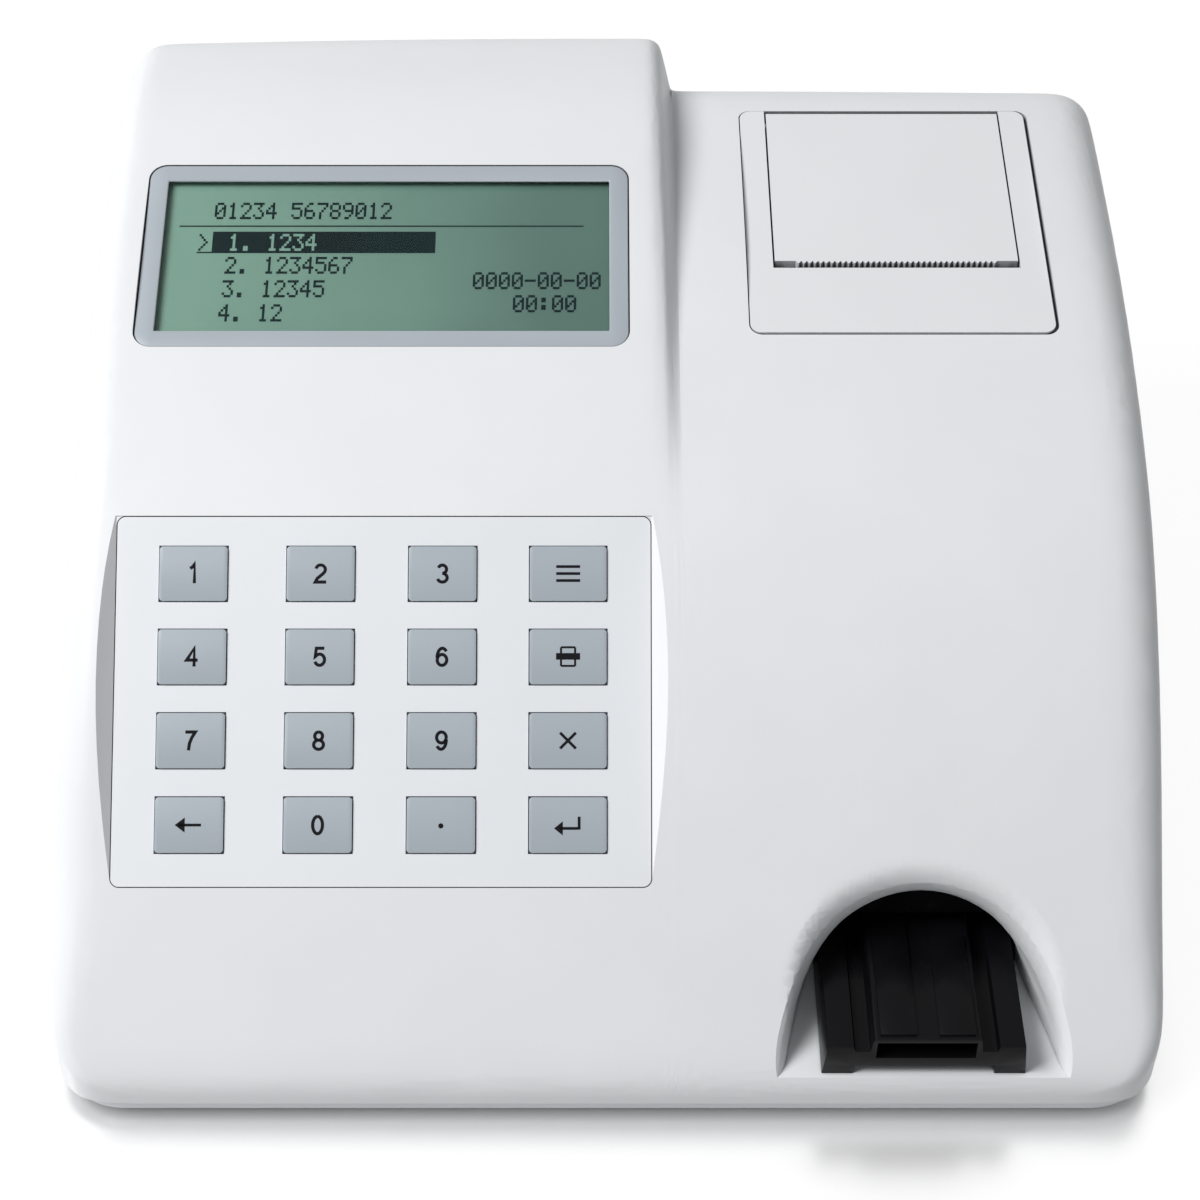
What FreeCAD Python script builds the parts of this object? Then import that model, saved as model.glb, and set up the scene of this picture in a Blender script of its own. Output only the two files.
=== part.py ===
"""Bench analyser for dipped test strips: moulded casing, keypad, display, strip carriage and receipt printer.

Own frame: millimetres, +Z up, +X to the user's right, +Y to the back. The origin is on the table, under the
middle of the outline. Every driving size is a cell of the sheet "Dims".
"""

import FreeCAD
import Part
import Sketcher
import math
import os
import re

Vector = FreeCAD.Vector
X_AXIS = Vector(1, 0, 0)
Y_AXIS = Vector(0, 1, 0)
Z_AXIS = Vector(0, 0, 1)

# ------------------------------------------------------------------------------------------ sizes

SIZES = {
    # Whole machine.
    "width": 269.0,
    "depth": 272.0,
    "foot_height": 3.0,
    "seam_z": 6.0,
    "wall": 2.6,
    "cavity_corner": 14.0,
    "cavity_lip": 9.0,
    "cavity_drop": 16.0,
    "side_round": 12.0,
    "plan_near": 9.4,
    "plan_far": 22.0,
    "nose_z": 13.7,
    "nose_drop_near": 1.6,
    "nose_drop_far": 5.5,
    "nose_slope": 47.5,
    "hump_x": 14.5,
    "crown_z": 146.2,
    # Bottom casing, feet and casing screws.
    "floor_thick": 2.5,
    "seam_inset": 0.8,
    "plan_round": 17.0,
    "rim_height": 5.0,
    "rim_thick": 2.0,
    "rim_gap": 0.3,
    "rim_corner": 28.0,
    "foot_radius": 8.0,
    "foot_peg_radius": 2.4,
    "foot_peg_gap": 0.1,
    "foot_side": 26.5,
    "foot_end": 28.0,
    "corner_side": 15.5,
    "corner_front": 20.0,
    "corner_back": 19.0,
    "corner_post_radius": 4.6,
    "corner_post_top": 11.3,
    "screw_radius": 1.5,
    "screw_head_radius": 2.8,
    "screw_head_height": 2.0,
    "screw_seat_z": 7.2,
    "screw_length": 12.0,
    "thread_gap": 0.05,
    # Display, in its own tilted plane.
    "display_side": 78.1,
    "display_share": 0.12794,
    "display_z": 132.3,
    "display_tilt": 16.8,
    "bezel_width": 124.0,
    "bezel_length": 56.6,
    "bezel_thick": 2.6,
    "bezel_round": 4.5,
    "bezel_sink": 0.3,
    "bezel_face": 4.9,
    "bezel_slot_gap": 0.2,
    "window_thick": 1.4,
    "window_lap": 1.5,
    "window_gap": 0.15,
    "window_sink": 0.9,
    "glass_thick": 2.4,
    "glass_lap": 0.7,
    "board_thick": 1.6,
    "ledge": 4.0,
    "ledge_depth": 5.8,
    # Keypad, in its own tilted plane.
    "keypad_side": 80.4,
    "keypad_share": -0.25294,
    "keypad_z": 76.9,
    "keypad_tilt": 38.9,
    "panel_width": 129.3,
    "panel_length": 89.2,
    "panel_thick": 2.0,
    "panel_round": 2.0,
    "panel_gap": 0.25,
    "panel_draft": 48.0,
    "key_width": 16.4,
    "key_wide": 18.6,
    "key_length": 13.3,
    "key_round": 0.9,
    "key_proud": 0.5,
    "key_gap": 0.25,
    "key_flange": 1.2,
    "key_flange_thick": 0.8,
    "key_travel": 0.5,
    "key_stem": 3.6,
    "key_pitch": 20.2,
    "key_row_shift": 0.4,
    "key_column_1": -46.0,
    "key_column_2": -15.2,
    "key_column_3": 14.3,
    "key_column_4": 44.7,
    "dome_radius": 3.0,
    "dome_height": 0.5,
    "dome_gap": 0.1,
    "keypad_board_drop": 5.0,
    "keypad_board_width": 120.0,
    "keypad_board_length": 78.0,
    "keypad_post_radius": 2.0,
    # Strip port, scooped into the nose on the right.
    "port_side": 58.5,
    "port_floor": 14.5,
    "port_half_width": 25.0,
    "port_height": 28.5,
    "port_wall": 2.6,
    "port_flare": 7.0,
    "port_flare_depth": 6.0,
    "mouth_half_width": 33.5,
    "mouth_height": 30.0,
    "mouth_round": 37.5,
    "mouth_outside": 10.0,
    "mouth_lead": 0.6,
    "liner_setback": 36.5,
    "liner_thick": 3.0,
    "liner_top": 45.5,
    "liner_half_width": 34.0,
    "liner_roof": 33.7,
    "liner_chamfer": 3.0,
    # Strip platform, rack and pinion.
    "platform_setback": 3.0,
    "platform_length": 110.0,
    "platform_half": 24.5,
    "platform_draft": 1.0,
    "platform_foot_height": 3.1,
    "platform_foot_width": 7.5,
    "shoulder_height": 10.7,
    "shoulder_inner": 17.4,
    "groove_height": 8.8,
    "groove_outer": 16.9,
    "groove_inner": 13.4,
    "bar_half": 12.7,
    "bar_height": 13.9,
    "bar_round": 1.0,
    "pad_height": 0.8,
    "pad_margin": 1.4,
    "pad_length": 30.0,
    "strip_channel": 5.3,
    "channel_length": 100.0,
    "channel_depth": 0.9,
    "grip_slot_width": 23.8,
    "grip_slot_height": 6.1,
    "grip_slot_z": 6.3,
    "grip_slot_depth": 18.0,
    "reference_length": 9.0,
    "gear_module": 0.8,
    "pinion_teeth": 16,
    "gear_backlash": 0.12,
    "rack_pitch_x": 23.4,
    "rack_depth": 4.0,
    "rack_height": 4.0,
    "rack_lead": 7.5,
    "rack_length": 69.0,
    "pinion_lead": 65.5,
    "pinion_height": 3.6,
    "pinion_lift": 0.2,
    "shaft_radius": 1.5,
    "shaft_gap": 0.05,
    # Carriage guide, motor and optics.
    "guide_thick": 3.0,
    "guide_clear": 1.0,
    "rail_gap": 0.35,
    "rail_thick": 2.6,
    "rail_height": 6.5,
    "deck_margin": 3.8,
    "guide_leg": 8.0,
    "bracket_z": 31.0,
    "bracket_thick": 1.5,
    "bracket_side": 40.0,
    "bracket_reach": 18.0,
    "motor_radius": 17.5,
    "motor_height": 20.0,
    "motor_boss_radius": 5.0,
    "optics_lead": 11.5,
    "optics_length": 38.0,
    "optics_roof": 33.0,
    "optics_height": 20.0,
    "optics_leg": 2.8,
    "lens_radius": 3.0,
    "lens_length": 6.0,
    # Main board and rear connectors.
    "board_clear": 5.4,
    "board_setback": 54.0,
    "board_width": 150.0,
    "board_length": 84.0,
    "board_z": 12.0,
    "board_inset": 6.0,
    "board_post_radius": 3.5,
    "ribbon_width": 18.0,
    "ribbon_thick": 0.4,
    "ribbon_slack": 9.0,
    "rear_panel_shift": 8.0,
    "rear_panel_width": 152.0,
    "rear_panel_top": 37.0,
    "rear_panel_sink": 1.0,
    "rear_flange": 4.0,
    "rear_flange_thick": 1.4,
    "rear_gap": 0.25,
    "rear_cut": 20.0,
    "connector_z": 23.5,
    "connector_gap": 0.2,
    "switch_shift": -58.0,
    "switch_width": 13.0,
    "switch_height": 19.0,
    "switch_depth": 16.0,
    "switch_flange": 1.5,
    "switch_flange_thick": 0.9,
    "rocker_width": 9.0,
    "rocker_height": 14.6,
    "rocker_tilt": 9.0,
    "rocker_pin_radius": 1.0,
    "inlet_shift": -34.0,
    "inlet_width": 10.0,
    "inlet_height": 11.0,
    "inlet_depth": 13.0,
    "inlet_bore": 3.2,
    "inlet_bore_depth": 9.5,
    "inlet_pin_radius": 1.0,
    "inlet_pin_length": 9.0,
    "scanner_shift": -16.0,
    "scanner_radius": 4.8,
    "scanner_width": 14.0,
    "serial_shift": 8.0,
    "serial_width": 18.0,
    "printer_port_shift": 52.0,
    "printer_port_width": 40.0,
    "dsub_height": 9.4,
    "dsub_ear": 7.0,
    "dsub_plate_height": 12.5,
    "dsub_depth": 12.0,
    # Receipt printer, in its own tilted plane.
    "printer_side": 59.7,
    "printer_share": 0.20699,
    "printer_z": 127.9,
    "printer_tilt": 6.9,
    "frame_width": 77.1,
    "frame_length": 83.6,
    "frame_thick": 2.4,
    "frame_round": 3.0,
    "frame_gap": 0.3,
    "frame_gap_right": 0.9,
    "frame_ledge": 3.2,
    "frame_ledge_depth": 6.0,
    "lid_width": 62.8,
    "lid_thick": 2.2,
    "lid_gap": 0.45,
    "lid_front": -19.4,
    "tear_width": 52.0,
    "tear_teeth": 36,
    "tear_depth": 0.9,
    "tear_gap": 1.5,
    "hinge_drop": 3.0,
    "hinge_inset": 3.2,
    "hinge_barrel": 3.0,
    "hinge_pin_radius": 1.2,
    "hinge_pin_gap": 0.05,
    "hinge_ear": 3.0,
    "platen_radius": 4.5,
    "platen_length": 52.0,
    "platen_drop": 8.6,
    "platen_setback": 9.0,
    "platen_ear": 2.0,
    "platen_side_gap": 0.3,
    "bucket_half": 30.6,
    "bucket_wall": 1.8,
    "bucket_front": -8.0,
    "bucket_back": 30.0,
    "bucket_depth": 40.0,
    "cheek_front": -27.0,
    "cheek_drop": 18.0,
    "head_thick": 4.0,
    "head_strip": 1.0,
    "head_length": 9.0,
    "head_margin": 1.5,
    "head_gap": 0.3,
    "spring_width": 16.0,
    "spring_thick": 0.5,
    "spring_rise": 4.0,
    "feed_motor_radius": 7.0,
    "feed_motor_length": 12.0,
}

# Places that follow from the sizes: each is measured from the side, the end or the piece that carries it.
PLACES = {
    "corner_x": "width / 2 - corner_side",
    "corner_front_y": "corner_front - depth / 2",
    "corner_back_y": "depth / 2 - corner_back",
    "foot_x": "width / 2 - foot_side",
    "foot_y": "depth / 2 - foot_end",
    "display_x": "display_side - width / 2",
    "display_y": "display_share * depth",
    "keypad_x": "keypad_side - width / 2",
    "keypad_y": "keypad_share * depth",
    "printer_x": "width / 2 - printer_side",
    "printer_y": "printer_share * depth",
    "port_x": "width / 2 - port_side",
    "liner_y": "liner_setback - depth / 2",
    "platform_front": "platform_setback - depth / 2",
    "rack_start": "liner_y + rack_lead",
    "pinion_y": "rack_start + pinion_lead",
    "optics_front": "liner_y + optics_lead",
    "board_x": "corner_post_radius + board_clear - corner_x + board_width / 2",
    "board_y": "depth / 2 - board_setback",
    "guide_back": "board_y - board_length / 2 - guide_clear",
    "rear_panel_x": "board_x + rear_panel_shift",
    "switch_x": "board_x + switch_shift",
    "inlet_x": "board_x + inlet_shift",
    "scanner_x": "board_x + scanner_shift",
    "serial_x": "board_x + serial_shift",
    "printer_port_x": "board_x + printer_port_shift",
}

# Crest of the casing: share of the depth from the middle, height over the display side and the printer side.
CREST = [
    (-0.3382, 60.6, 60.6),
    (-0.2574, 81.0, 81.0),
    (-0.1765, 97.3, 97.3),
    (-0.1029, 108.9, 108.9),
    (-0.0441, 116.4, 114.7),
    (0.0147, 122.9, 119.7),
    (0.0809, 129.3, 124.1),
    (0.1544, 135.1, 127.6),
    (0.2279, 140.5, 129.9),
    (0.3088, 145.0, 131.9),
    (0.3676, SIZES["crown_z"], 133.0),
]
for station, (crest_share, hump_z, deck_z) in enumerate(CREST):
    SIZES[f"crest_share_{station}"] = crest_share
    SIZES[f"hump_z_{station}"] = hump_z
    SIZES[f"deck_z_{station}"] = deck_z

# Fall of the back edge below the crest, row by row to the back wall.
for station, rear_drop in enumerate((0.0, 0.4, 4.6, 10.0, 19.0)):
    SIZES[f"rear_drop_{station}"] = rear_drop

# Step between the two crests: sideways offset from its top edge, and the share of the step left there.
STEP_FORM = [
    (-5.6, 1.0),
    (-2.2, 1.0),
    (0.2, 0.86),
    (1.2, 0.6),
    (2.2, 0.3),
    (4.4, 0.07),
    (8.0, 0.0),
    (13.0, 0.0),
]

# Keys: node name, column, row from the top.
KEYS = [
    ("key_1", 1, 1),
    ("key_2", 2, 1),
    ("key_3", 3, 1),
    ("key_menu", 4, 1),
    ("key_4", 1, 2),
    ("key_5", 2, 2),
    ("key_6", 3, 2),
    ("key_print", 4, 2),
    ("key_7", 1, 3),
    ("key_8", 2, 3),
    ("key_9", 3, 3),
    ("key_cancel", 4, 3),
    ("key_back", 1, 4),
    ("key_0", 2, 4),
    ("key_point", 3, 4),
    ("key_enter", 4, 4),
]
KEY_ROWS = 4
WIDE_COLUMN = 4

# Larger parts of the main board, placed from its middle: name, width, length, height, x and y.
BOARD_BLOCKS = [
    ("processor", 22.0, 22.0, 1.8, -10.0, -6.0),
    ("memory", 12.0, 18.0, 1.4, 18.0, -8.0),
    ("driver_chip", 10.0, 7.0, 2.2, 46.0, -20.0),
    ("ribbon_header", 42.0, 6.0, 6.0, -34.0, -32.0),
    ("motor_header", 14.0, 6.0, 6.0, 50.0, -34.0),
]

# Round parts of the main board: name, radius, height, x and y.
BOARD_ROUNDS = [
    ("clock_cell", 10.0, 3.4, -52.0, -6.0),
    ("reservoir_capacitor", 6.2, 16.0, -62.0, 14.0),
    ("filter_capacitor", 4.0, 11.0, -48.0, 16.0),
    ("sounder", 6.0, 8.0, 66.0, -4.0),
]

# Depth of the display stack under its plane, from the bezel's face to the back of the board.
DISPLAY_STACK = "bezel_sink + window_sink + window_thick + glass_thick + board_thick"

doc = FreeCAD.newDocument("strip_analyser")
sheet = doc.addObject("Spreadsheet::Sheet", "Dims")
for line_number, (alias, number) in enumerate(SIZES.items(), start=1):
    sheet.set(f"A{line_number}", alias)
    sheet.set(f"B{line_number}", repr(number))
    sheet.setAlias(f"B{line_number}", alias)
doc.recompute()

NODES = []


# ------------------------------------------------------------------------------------------ helpers


def cells(text):
    """Expression in which each size's name becomes its cell and each place's name its own expression."""

    def reference(word):
        name = word.group()
        if name in PLACES:
            return f"({cells(PLACES[name])})"
        return f"Dims.{name}" if name in SIZES else name

    return re.sub(r"(?<![.\w])[a-z]\w*", reference, str(text))


def value(text):
    """Number that an expression of sizes gives."""
    return float(sheet.evalExpression(cells(text)))


def size(name):
    """Number of one size or place."""
    return float(sheet.get(name)) if name in SIZES else value(name)


def bind(thing, **expressions):
    """Tie properties to sizes; a double underscore in a name stands for a dot."""
    for name, text in expressions.items():
        thing.setExpression(name.replace("__", "."), cells(text))


def node(thing, label):
    """Give a finished sub-part its name and list it for writing."""
    thing.Label = label
    NODES.append(thing)
    return thing


def place(thing, x="0", y="0", z="0", tilt=None):
    """Put a finished sub-part in the machine, tilted about the X axis where its plane slopes."""
    if tilt:
        thing.Placement.Rotation = FreeCAD.Rotation(X_AXIS, size(tilt))
        bind(thing, Placement__Rotation__Angle=tilt)
    bind(thing, Placement__Base__x=x, Placement__Base__y=y, Placement__Base__z=z)
    return thing


def block(name, across, along, high, x="0", y="0", z="0"):
    """Box centred on x and y that stands on z."""
    box = doc.addObject("Part::Box", name)
    bind(box, Length=across, Width=along, Height=high)
    bind(
        box,
        Placement__Base__x=f"({x}) - ({across}) / 2",
        Placement__Base__y=f"({y}) - ({along}) / 2",
        Placement__Base__z=z,
    )
    return box


def span(name, low_x, high_x, low_y, high_y, low_z, high_z):
    """Box between two values on each axis."""
    box = doc.addObject("Part::Box", name)
    bind(
        box, Length=f"({high_x}) - ({low_x})", Width=f"({high_y}) - ({low_y})",
        Height=f"({high_z}) - ({low_z})",
    )
    bind(box, Placement__Base__x=low_x, Placement__Base__y=low_y, Placement__Base__z=low_z)
    return box


TURNS = {"z": FreeCAD.Rotation(), "x": FreeCAD.Rotation(Y_AXIS, 90), "y": FreeCAD.Rotation(X_AXIS, -90)}


def rod(name, radius, length, x="0", y="0", z="0", along="z"):
    """Cylinder that starts at a point and runs along one axis."""
    cylinder = doc.addObject("Part::Cylinder", name)
    cylinder.Placement.Rotation = TURNS[along]
    bind(
        cylinder, Radius=radius, Height=length, Placement__Base__x=x, Placement__Base__y=y,
        Placement__Base__z=z,
    )
    return cylinder


def join(name, pieces):
    """Union of several pieces."""
    union = doc.addObject("Part::MultiFuse", name)
    union.Shapes = pieces
    union.Refine = True
    return union


def group(name, pieces):
    """Separate solids held in one node."""
    compound = doc.addObject("Part::Compound", name)
    compound.Links = pieces
    return compound


def cut(name, base, tools):
    """Base with every tool taken away."""
    result = doc.addObject("Part::Cut", name)
    result.Base = base
    result.Tool = tools[0] if len(tools) == 1 else join(name + "_tools", tools)
    result.Refine = True
    return result


def new_body(label):
    """Empty PartDesign body, listed as a node."""
    return node(doc.addObject("PartDesign::Body", label), label)


def sketch_on(body, role, name, x="0", y="0", offset="0"):
    """Sketch on one of the body's own origin planes, shifted in the plane and along its normal."""
    plane = next(feature for feature in body.Origin.OriginFeatures if feature.Role == role)
    sketch = body.newObject("Sketcher::SketchObject", name)
    sketch.AttachmentSupport = [(plane, "")]
    sketch.MapMode = "FlatFace"
    bind(sketch, AttachmentOffset__Base__x=x, AttachmentOffset__Base__y=y, AttachmentOffset__Base__z=offset)
    return sketch


def outline(sketch, points):
    """Closed outline of straight lines through points given as pairs of expressions."""
    start = sketch.GeometryCount
    spots = [Vector(value(x), value(y), 0) for x, y in points]
    count = len(points)
    for i in range(count):
        sketch.addGeometry(Part.LineSegment(spots[i], spots[(i + 1) % count]), False)
    for i in range(count):
        sketch.addConstraint(Sketcher.Constraint("Coincident", start + i, 2, start + (i + 1) % count, 1))
    for i, (x, y) in enumerate(points):
        across = sketch.addConstraint(Sketcher.Constraint("DistanceX", -1, 1, start + i, 1, spots[i].x))
        sketch.setExpression(f"Constraints[{across}]", cells(x))
        up = sketch.addConstraint(Sketcher.Constraint("DistanceY", -1, 1, start + i, 1, spots[i].y))
        sketch.setExpression(f"Constraints[{up}]", cells(y))


def rectangle(sketch, across, along, x="0", y="0"):
    """Rectangle centred on x and y."""
    left, right = f"({x}) - ({across}) / 2", f"({x}) + ({across}) / 2"
    low, high = f"({y}) - ({along}) / 2", f"({y}) + ({along}) / 2"
    outline(sketch, [(left, low), (right, low), (right, high), (left, high)])


def circle(sketch, radius, x="0", y="0"):
    """Circle about x and y."""
    index = sketch.addGeometry(Part.Circle(Vector(value(x), value(y), 0), Z_AXIS, value(radius)), False)
    reach = sketch.addConstraint(Sketcher.Constraint("Radius", index, value(radius)))
    sketch.setExpression(f"Constraints[{reach}]", cells(radius))
    across = sketch.addConstraint(Sketcher.Constraint("DistanceX", -1, 1, index, 3, value(x)))
    sketch.setExpression(f"Constraints[{across}]", cells(x))
    up = sketch.addConstraint(Sketcher.Constraint("DistanceY", -1, 1, index, 3, value(y)))
    sketch.setExpression(f"Constraints[{up}]", cells(y))


def pad(body, sketch, length, down=False):
    """Solid raised from a sketch, along its normal or against it."""
    feature = body.newObject("PartDesign::Pad", sketch.Name + "_pad")
    feature.Profile = sketch
    feature.Reversed = down
    bind(feature, Length=length)
    return feature


def pocket(body, sketch, depth, up=False):
    """Hollow sunk from a sketch, against its normal or along it."""
    feature = body.newObject("PartDesign::Pocket", sketch.Name + "_pocket")
    feature.Profile = sketch
    feature.Reversed = up
    bind(feature, Length=depth)
    return feature


def round_edges(body, feature, radius, chosen):
    """Fillet on the edges of a feature that a test picks."""
    doc.recompute()
    names = [f"Edge{i}" for i, edge in enumerate(feature.Shape.Edges, start=1) if chosen(edge)]
    fillet = body.newObject("PartDesign::Fillet", feature.Name + "_round")
    fillet.Base = (feature, names)
    bind(fillet, Radius=radius)
    return fillet


def upright(edge):
    """True for a straight edge that runs along Z."""
    ends = [vertex.Point for vertex in edge.Vertexes]
    return len(ends) == 2 and abs(ends[0].x - ends[1].x) < 1e-6 and abs(ends[0].y - ends[1].y) < 1e-6


def formed(shape, label):
    """Node whose shape comes from Part's own functions."""
    feature = doc.addObject("Part::Feature", label)
    feature.Shape = shape
    feature.Placement = FreeCAD.Placement()
    return node(feature, label)


# ------------------------------------------------------------------------------------------ casing surfaces


def spline_face(net):
    """Smooth cubic surface over a net of poles, held at its edges."""
    degree = 3
    along_knots = list(range(len(net) - degree + 1))
    across_knots = list(range(len(net[0]) - degree + 1))
    surface = Part.BSplineSurface()
    surface.buildFromPolesMultsKnots(
        net,
        [degree + 1] + [1] * (len(along_knots) - 2) + [degree + 1],
        [degree + 1] + [1] * (len(across_knots) - 2) + [degree + 1],
        along_knots,
        across_knots,
        False,
        False,
        degree,
        degree,
    )
    return surface.toShape()


def tunnel_solid(net):
    """Solid under an arched net whose end rows are flat and whose sides lie in one level plane."""
    face = spline_face(net)
    ends = [edge for edge in face.Edges if edge.BoundBox.YLength < 1e-6]
    sides = [edge for edge in face.Edges if edge.BoundBox.YLength > 1e-6]
    sills = [Part.makeLine(edge.Vertexes[-1].Point, edge.Vertexes[0].Point) for edge in ends]
    caps = [Part.Face(Part.Wire([edge, sill])) for edge, sill in zip(ends, sills)]
    floor = Part.Face(Part.Wire(Part.__sortEdges__(sides + sills)))
    shell = Part.makeShell([face, floor] + caps)
    shell.sewShape()
    solid = Part.makeSolid(shell)
    if solid.Volume < 0:
        solid.reverse()
    return solid


def slope_height(y):
    """Height of the sloping front, carried straight on to the nose."""
    return size("nose_z") + math.tan(math.radians(size("nose_slope"))) * (y + size("depth") / 2)


def crest_y(station):
    """Place of a crest station along the machine."""
    return value(f"crest_share_{station} * depth")


def crest_rows():
    """Rows of the casing net: y, plan inset, height over the display side, height over the printer side."""
    front, back = -size("depth") / 2, size("depth") / 2
    near, far = size("plan_near"), size("plan_far")
    nose = size("nose_z")
    rows = []
    for inset, drop in ((far, size("nose_drop_far")), (near, size("nose_drop_near"))):
        rows.append((front, inset, nose - drop, nose - drop))
    for setback, inset in ((near / 3, near / 2), (near, 0.0), (far, 0.0)):
        height = slope_height(front + setback)
        rows.append((front + setback, inset, height, height))
    for station in range(len(CREST)):
        rows.append((crest_y(station), 0.0, size(f"hump_z_{station}"), size(f"deck_z_{station}")))
    hump, deck = rows[-1][2:]
    insets = (0.0, 0.0, near / 2, near, far)
    for station, (setback, inset) in enumerate(zip((far, near, near / 3, 0.0, 0.0), insets)):
        drop = size(f"rear_drop_{station}")
        rows.append((back - setback, inset, hump - drop, deck - drop))
    return rows


def casing_net(base):
    """Net of poles for the casing's outer face."""
    half = size("width") / 2
    return [casing_row(y, half - plan_inset, hump, deck, base) for y, plan_inset, hump, deck in crest_rows()]


def casing_row(y, half, hump, deck, base):
    """Poles of one cross-section, from the left foot over the hump, down the step and across the deck."""
    near, far = 0.55, 1.3
    edge = size("side_round")
    left = min(edge, 0.45 * (hump - base) / far)
    right = min(edge, 0.45 * (deck - base) / far)
    step = size("hump_x")
    poles = [(-half, base), (-half, (base + hump - far * left) / 2)]
    poles += [(-half, hump - far * left), (-half, hump - near * left)]
    poles += [(-half + near * left, hump), (-half + far * left, hump)]
    start, end = -half + far * left, step + STEP_FORM[0][0]
    poles += [(start + (end - start) * share, hump) for share in (0.2, 0.5, 0.8)]
    poles += [(step + offset, deck + (hump - deck) * share) for offset, share in STEP_FORM]
    start, end = step + STEP_FORM[-1][0], half - far * right
    poles += [(start + (end - start) * share, deck) for share in (0.25, 0.55, 0.8)]
    poles += [(half - far * right, deck), (half - near * right, deck)]
    poles += [(half, deck - near * right), (half, deck - far * right)]
    poles += [(half, (base + deck - far * right) / 2), (half, base)]
    return [Vector(x, y, z) for x, z in poles]


def inner_heights(y):
    """Heights of the inner face over both sides, one wall in from the outer face."""
    rows = crest_rows()[2:-4]
    for before, after in zip(rows, rows[1:]):
        if before[0] <= y <= after[0]:
            break
    run = after[0] - before[0]
    share = (y - before[0]) / run
    heights = []
    for side in (2, 3):
        rise = after[side] - before[side]
        heights.append(before[side] + rise * share - size("wall") * math.hypot(1, rise / run))
    return heights


def cavity_solid():
    """Hollow of the upper casing: flat-sided, so that the wall is thickest along the rounded edges."""
    wall, corner = size("wall"), size("cavity_corner")
    front, back = wall - size("depth") / 2, size("depth") / 2 - wall
    lip, drop = size("cavity_lip"), size("cavity_drop")
    near = 0.3
    inset, dip = near * corner, near * drop
    rising_lip = lip + 1.4 * inset
    sections = [(front, corner, lip, lip), (front + inset, inset, rising_lip, rising_lip)]
    stations = [crest_y(station) for station in range(0, len(CREST) - 1, 2)]
    for y in [front + corner] + stations + [back - 1.4 * corner]:
        hump, deck = inner_heights(y)
        sections.append((y, 0.0, hump, deck))
    sections += [(back - inset, inset, hump - dip, deck - dip), (back, corner, hump - drop, deck - drop)]
    wires = []
    for y, plan_inset, hump, deck in sections:
        ring = [Vector(x, y, z) for x, z in cavity_section(size("width") / 2 - wall - plan_inset, hump, deck)]
        wires.append(Part.makePolygon(ring + ring[:1]))
    return Part.makeLoft(wires, True, True)


def cavity_section(half, hump, deck):
    """One cross-section of the hollow, with two facets for each rounded edge."""
    base = size("seam_z") - 1
    left = min(size("side_round"), 0.6 * (hump - base))
    right = min(size("side_round"), 0.6 * (deck - base))
    near = 0.3
    step = size("hump_x") - size("wall")
    return [
        (-half, base),
        (-half, hump - left),
        (-half + near * left, hump - near * left),
        (-half + left, hump),
        (step + STEP_FORM[0][0], hump),
        (step + STEP_FORM[4][0], deck),
        (half - right, deck),
        (half - near * right, deck - near * right),
        (half, deck - right),
        (half, base),
    ]


def port_cutter(skin, back):
    """Arched tunnel of the strip port, its mouth rolled out onto the sloping front.

    The skin widens it all round. A pole is given by its half width, its height over the port's floor and
    either its shift behind the slope or its own y.
    """
    middle, floor = size("port_x"), size("port_floor") - skin
    half, height = size("port_half_width") + skin, size("port_height") + skin
    mouth_half, mouth_height = size("mouth_half_width"), size("mouth_height")
    roll = size("mouth_round")
    flare, flare_depth = size("port_flare"), size("port_flare_depth")
    outside, lead = size("mouth_outside"), size("mouth_lead")
    rise = math.tan(math.radians(size("nose_slope")))
    steps = 16
    spread = 2.3 * skin
    net = []
    for k in range(steps + 1):
        side, up = math.cos(math.pi * k / steps), math.sin(math.pi * k / steps)

        def pole(half_width, high, shift=None, y=None):
            x, z = middle + half_width * side, floor + high * up
            if y is None:
                y = (z - size("nose_z")) / rise - size("depth") / 2 + shift
            return Vector(x, y, z)

        flank = side * side
        net.append(
            [
                pole(roll + outside + spread, roll + outside + spread, y=-size("depth") / 2 - 2 * outside),
                pole(roll + 0.7 * outside + spread, roll + 0.7 * outside + spread, shift=-10 * lead),
                pole(roll + 1 + spread, roll + spread, shift=-lead),
                pole(mouth_half + 1.6 * skin, mouth_height + 1.8 * skin, shift=0.8 + 0.5 * skin),
                pole(half + flare * flank, height, shift=flare_depth * (1 + flank)),
                pole(half + 0.2 * flare * flank, height, y=size("liner_y") - 4),
                pole(half, height, y=back - 1.5),
                pole(half, height, y=back),
            ]
        )
    rows = [list(row) for row in zip(*net)]
    return tunnel_solid(rows)


def rounded_prism(across, along, low, high, corner):
    """Upright prism on a rectangle with rounded corners, centred on the origin."""
    box = Part.makeBox(across, along, high - low, Vector(-across / 2, -along / 2, low))
    return box.makeFillet(corner, [edge for edge in box.Edges if upright(edge)])


def tilted(shape, plane):
    """Shape drawn flat, moved to the sloping plane of the display, the keypad or the printer."""
    turned = shape.copy()
    where = Vector(size(plane + "_x"), size(plane + "_y"), size(plane + "_z"))
    slope = FreeCAD.Placement(where, FreeCAD.Rotation(X_AXIS, size(plane + "_tilt")))
    turned.Placement = slope.multiply(shape.Placement)
    return turned


def keypad_scoop():
    """Space over the keypad, its two flanks cut back at a slant where the casing bulges past the panel."""
    half = size("panel_width") / 2 + size("panel_gap")
    reach = size("panel_length") / 2 + size("panel_gap")
    high = 9.0
    spread = high * math.tan(math.radians(size("panel_draft")))
    corners = [(-half, 0), (half, 0), (half + spread, high), (-half - spread, high)]
    points = [Vector(x, -reach, z) for x, z in corners]
    face = Part.Face(Part.makePolygon(points + points[:1]))
    return face.extrude(Vector(0, 2 * reach, 0))


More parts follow.
